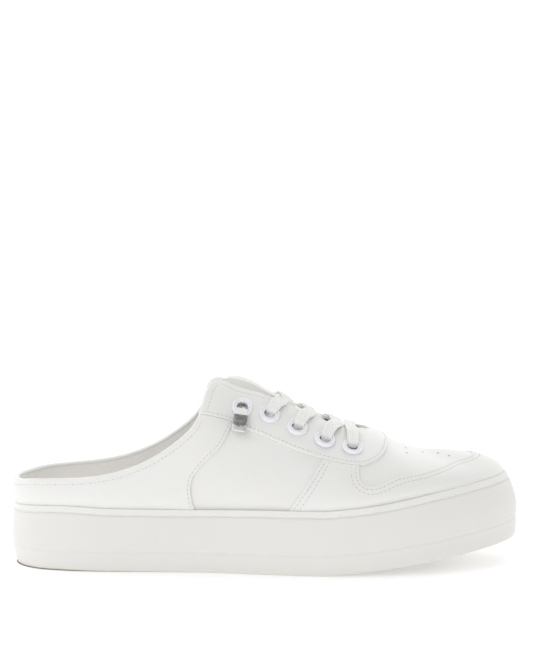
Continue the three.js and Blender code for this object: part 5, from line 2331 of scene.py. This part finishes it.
    def band(self, name: str, rows: list[Row]) -> tuple[Piece, Array]:
        """The mesh of a lace and its middle line.

        Args:
            name: the piece's name.
            rows: the rows that it is led through.

        Returns:
            The piece, and its middle line in mm.
        """
        middles = np.array([row.middle for row in rows])
        across = np.array([row.across for row in rows])
        for i in range(1, len(across)):
            if across[i].dot(across[i - 1]) < 0:
                across[i] = -across[i]
        widths = np.array([row.width for row in rows])
        packed = spline(np.concatenate([middles, across, widths[:, None]], -1), 24)
        _, even = resample(packed[:, :3], self.ring_step, packed)
        middle, across, width = even[:, :3], even[:, 3:6], even[:, 6]
        along = unit(np.gradient(middle, axis=0))
        across = unit(across - along * (across * along).sum(-1, keepdims=True))
        up = np.cross(along, across)
        piece, section = Piece(name), self.profile()
        run = np.r_[0, np.cumsum(np.linalg.norm(np.diff(middle, axis=0), axis=1))]
        bunch = 1 + 0.2 * np.clip((6.0 - width) / 1.0, 0, 1)
        rings = (
            middle[:, None]
            + section[None, :, :1] * (across * width[:, None])[:, None]
            + section[None, :, 1:2] * (up * bunch[:, None])[:, None]
        )
        around = len(section)
        for i in range(len(middle)):
            for k in range(around):
                piece.uvs[i * around + k] = (float(run[i]), float(section[k, 2]))
        piece.grid(rings, around=True, flip=True)
        last = (len(rings) - 1) * around
        piece.stitch([list(range(around)), [last + k for k in range(around)][::-1]])
        return piece, middle

    def tip(self, side: Side, metal: Finish) -> bpy.types.Object:
        """A flat metal tip crimped on a lace's end.

        Args:
            side: the side of the shoe.
            metal: the tip's finish.

        Returns:
            The finished object.
        """
        rows = []
        turn = np.linspace(0, 2 * np.pi, 40, endpoint=False)
        sideways = np.sign(np.cos(turn)) * np.abs(np.cos(turn)) ** 0.35
        upwards = np.sign(np.sin(turn)) * np.abs(np.sin(turn)) ** 0.35
        for distance, size in TIP_STEPS:
            drop = self.tip_start + distance / TIP_RUN * self.tip_length
            middle, across, out = self.hanging(side, drop, self.tip_height)
            wide = self.tip_width / 2 * min(1.0, size + 0.04 if size > 0.6 else size)
            thick = self.tip_thickness / 2 * size
            rows.append(middle + np.outer(sideways * wide, across) + np.outer(upwards * thick, out))
        piece = Piece(f"lace_tip_plate_{side.name.lower()}")
        for i, (distance, _) in enumerate(TIP_STEPS):
            for k in range(len(turn)):
                piece.uvs[i * len(turn) + k] = (distance / TIP_RUN, float(sideways[k]))
        piece.grid(np.stack(rows), around=True, flip=True)
        return piece.build([metal.material()], "tip_metal", [f"lace_tip_{side.name.lower()}"], 0.0, 0.001)

    def build(self, weave: Finish, metal: Finish) -> None:
        """Args:
            weave: the laces' finish.
            metal: the tips' finish.
        """
        replaced = {
            Side.LATERAL: ["lace_end_lateral", "lace_bar_front", "lace_crossing_2", "lace_crossing_3",
                           "lace_crossing_4"],
            Side.MEDIAL: ["lace_end_medial", "lace_crossing_2", "lace_crossing_3", "lace_crossing_4"],
        }
        for side, rows in ((Side.LATERAL, self.lateral()), (Side.MEDIAL, self.medial())):
            tip = self.tip(side, metal)
            piece, middle = self.band(f"lace_{side.name.lower()}", rows)
            made = piece.build([weave.material()], "lace", replaced[side])
            length = float(np.linalg.norm(np.diff(middle, axis=0), axis=1).sum())
            LOG.info("lace %s is %.0f mm long", side.name.lower(), length)
            tuple(middle[0] * MM)
            [tuple(point * MM) for point in middle]


# The vamp's perforations: how far forward, and how far from the middle line, in mm
PUNCHES = tuple(
    (x, offset * side)
    for side in (-1, 1)
    for x, offset in ((76.9, 19.0), (76.9, 9.4), (86.3, 8.6), (94.7, 7.2), (100.6, 10.1))
)


@dataclass(frozen=True)
class Seam:
    """A row of stitches: a line of places, how far to its left it runs, and its height over the last."""

    line: Array
    left: float
    height: float
    skip: float = 0.0


@dataclass
class Sewing:
    """All stitched seams: the thread, and flat dark discs painted as the shade in the needle holes."""

    pitch: float = 2.4
    thread: float = 0.26
    hole: float = 0.27
    sides: int = 8
    punched: float = 0.65
    punch_sides: int = 16
    punch_lift: float = 0.06

    def capsule(self) -> tuple[Array, list]:
        """A thread along x from 0 to 1, its ends bent down, as points and faces.

        Returns:
            The points and the faces.
        """
        run = np.array([0.0, 0.02, 0.08, 0.2, 0.5, 0.8, 0.92, 0.98, 1.0])
        size = np.array([0.0, 0.5, 0.85, 1.0, 1.05, 1.0, 0.85, 0.5, 0.0])
        sink = np.array([-1.6, -1.3, -0.8, -0.2, 0.0, -0.2, -0.8, -1.3, -1.6])
        turn = np.linspace(0, 2 * np.pi, self.sides, endpoint=False)
        points = np.stack([
            np.repeat(run[:, None], self.sides, 1),
            size[:, None] * np.cos(turn)[None],
            size[:, None] * np.sin(turn)[None] * 0.8 + sink[:, None],
        ], -1)
        faces = [
            (i * self.sides + k, i * self.sides + (k + 1) % self.sides,
             (i + 1) * self.sides + (k + 1) % self.sides, (i + 1) * self.sides + k)
            for i in range(len(run) - 1) for k in range(self.sides)
        ]
        return points.reshape(-1, 3), faces

    def sew(self, threads: Piece, holes: Piece, seam: Seam) -> None:
        """Adds one seam's stitches, and flat dark discs painted as the shade in its needle holes.

        Args:
            threads: takes the stitches.
            holes: takes the needle holes' painted shade discs.
            seam: the seam.
        """
        line = beside(seam.line, seam.left)
        if seam.skip:
            run, even = resample(LAST.rib(*line.T), 0.5, line)
            line = even[(run > seam.skip) & (run < run[-1] - seam.skip)]
        points = LAST.over(*line.T, seam.height)
        _, even = resample(points, self.pitch, line)
        ends = LAST.over(*even.T, seam.height)
        normals = LAST.normal(*even.T)
        template, faces = self.capsule()
        along = ends[1:] - ends[:-1]
        gap = 0.13
        start, along = ends[:-1] + along * gap, along * (1 - 2 * gap)
        across = unit(np.cross(normals[:-1], along))
        up = unit(np.cross(along, across))
        made = (
            start[:, None] + template[None, :, :1] * along[:, None]
            + template[None, :, 1:2] * self.thread * across[:, None]
            + template[None, :, 2:] * self.thread * up[:, None]
        )
        for stitch in made:
            threads.add(stitch, faces)
        # Needle holes: flat dark discs just over the leather at each stitch's ends, painted shade in the
        # holes.
        turn = np.linspace(0, 2 * np.pi, 10, endpoint=False)
        rim = np.stack([np.cos(turn), np.sin(turn)], -1) * self.hole
        disc = [(0, 1 + i, 1 + (i + 1) % 10) for i in range(10)]
        for end, normal, way in zip(ends, normals, np.gradient(ends, axis=0)):
            first = unit(way - normal * way.dot(normal))
            second = np.cross(normal, first)
            base = end + normal * 0.05
            holes.add([base, *(base + first * a + second * b for a, b in rim)], disc)

    def build(self, thread: Finish, hole: Finish, punched: Finish) -> None:
        """Sews every seam and makes the perforations of the vamp, as flat dark discs painted as the shade in
        the holes.

        Args:
            thread: the thread's finish.
            hole: the needle holes' finish, a dark colour painted as the shade in each hole.
            punched: the perforations' finish, a dark colour painted as the shade in each hole.
        """
        threads, holes = Piece("stitches"), Piece("needle_hole_shade_discs")
        for side in Side:
            for seam in self.seams(side):
                self.sew(threads, holes, seam)
        threads.build([thread.material()], "white_leather")
        holes.build([hole.material()], "white_leather")
        # The vamp's perforations: flat dark discs just over the leather, painted shade standing for the
        # holes.
        turn = np.linspace(0, 2 * np.pi, self.punch_sides, endpoint=False)
        rim = np.stack([np.cos(turn), np.sin(turn)], -1) * self.punched
        piece = Piece("vamp_perforation_shade_discs")
        for x, offset in PUNCHES:
            y = float(LAST.middle(x)) + offset
            place = LAST.seek(x, y, math.copysign(1.0, offset), 1).reshape(2)
            normal, centre = LAST.normal(*place), LAST.over(*place, self.punch_lift)
            first = unit(np.cross(normal, np.array([0.0, 1.0, 0.0])))
            second = np.cross(normal, first)
            piece.add([centre, *(centre + first * a + second * b for a, b in rim)],
                      [(0, 1 + i, 1 + (i + 1) % self.punch_sides) for i in range(self.punch_sides)])
        piece.build([punched.material()], "white_leather")

    def seams(self, side: Side) -> list[Seam]:
        """The seams of one side.

        Args:
            side: the side of the shoe.

        Returns:
            The seams, in the order they are sewn.
        """
        turn = -float(side.value)
        upper = Upper()
        edge = LAST.edge_line(EYESTAY_EDGE)
        quarter = np.concatenate([LAST.edge_line(QUARTER_EDGE), [[LAST.place_of(0.34), LAST.instep_height]]])
        low = crossing(quarter, np.stack([quarter[:, 0], LAST.lip(LAST.share_of(quarter[:, 0])) + 0.4], -1))
        front = edge_places(between(quarter, low, crossing(quarter, edge)), side)
        stay = edge_places(between(edge, PATTERN.ear_foot(), edge[-1]), side)
        ear, collar = PATTERN.ear_line(side), PATTERN.quarter_collar(side)
        throat = PATTERN.throat_line(side)
        rear, _, ahead = upper.guard_border(side)
        heel = PATTERN.heel_side(side, PATTERN.backstay_width / 2)
        on, stay_top, guard = Leather.OVERLAY.value, Leather.EYESTAY.value, Leather.GUARD.value
        return [
            Seam(front, 1.7 * turn, on - 0.1, 1.5),
            Seam(stay, 1.7 * turn, stay_top - 0.1, 2.0),
            Seam(ear, -2.6 * turn, stay_top - 0.12, 2.6),
            Seam(throat, -2.2 * turn, stay_top - 0.1, 3.0),
            Seam(collar, -2.6 * turn, on - 0.12, 2.0),
            Seam(heel, -1.8 * turn, on - 0.1, 2.8),
            Seam(rear, -1.9 * turn, guard - 0.1, 0.6),
            Seam(rear, -4.3 * turn, guard - 0.1, 0.6),
            Seam(ahead, -1.9 * turn, guard - 0.1, 0.8),
            Seam(ahead, -4.3 * turn, guard - 0.1, 0.8),
        ]


def main() -> None:
    """Builds the studio and then the shoe piece by piece."""
    logging.basicConfig(level=logging.INFO, format="%(name)s %(message)s")
    upper = Upper()
    Studio().build()
    Sole().build(RUBBER, LIP)
    upper.base(LEATHER)
    upper.lining(LINING)
    upper.insole(FOOTBED)
    upper.tongue(LEATHER, TONGUE_CLOTH)
    upper.eyestay(LEATHER)
    upper.guard(LEATHER)
    for side in Side:
        upper.quarter(side, LEATHER)
    upper.backstay(LEATHER)
    Eyelets().build(PLASTIC)
    Laces().build(WEAVE, METAL)
    Sewing().build(THREAD, NEEDLE_HOLE_SHADE, PERFORATION_SHADE)


if __name__ == "__main__":
    main()
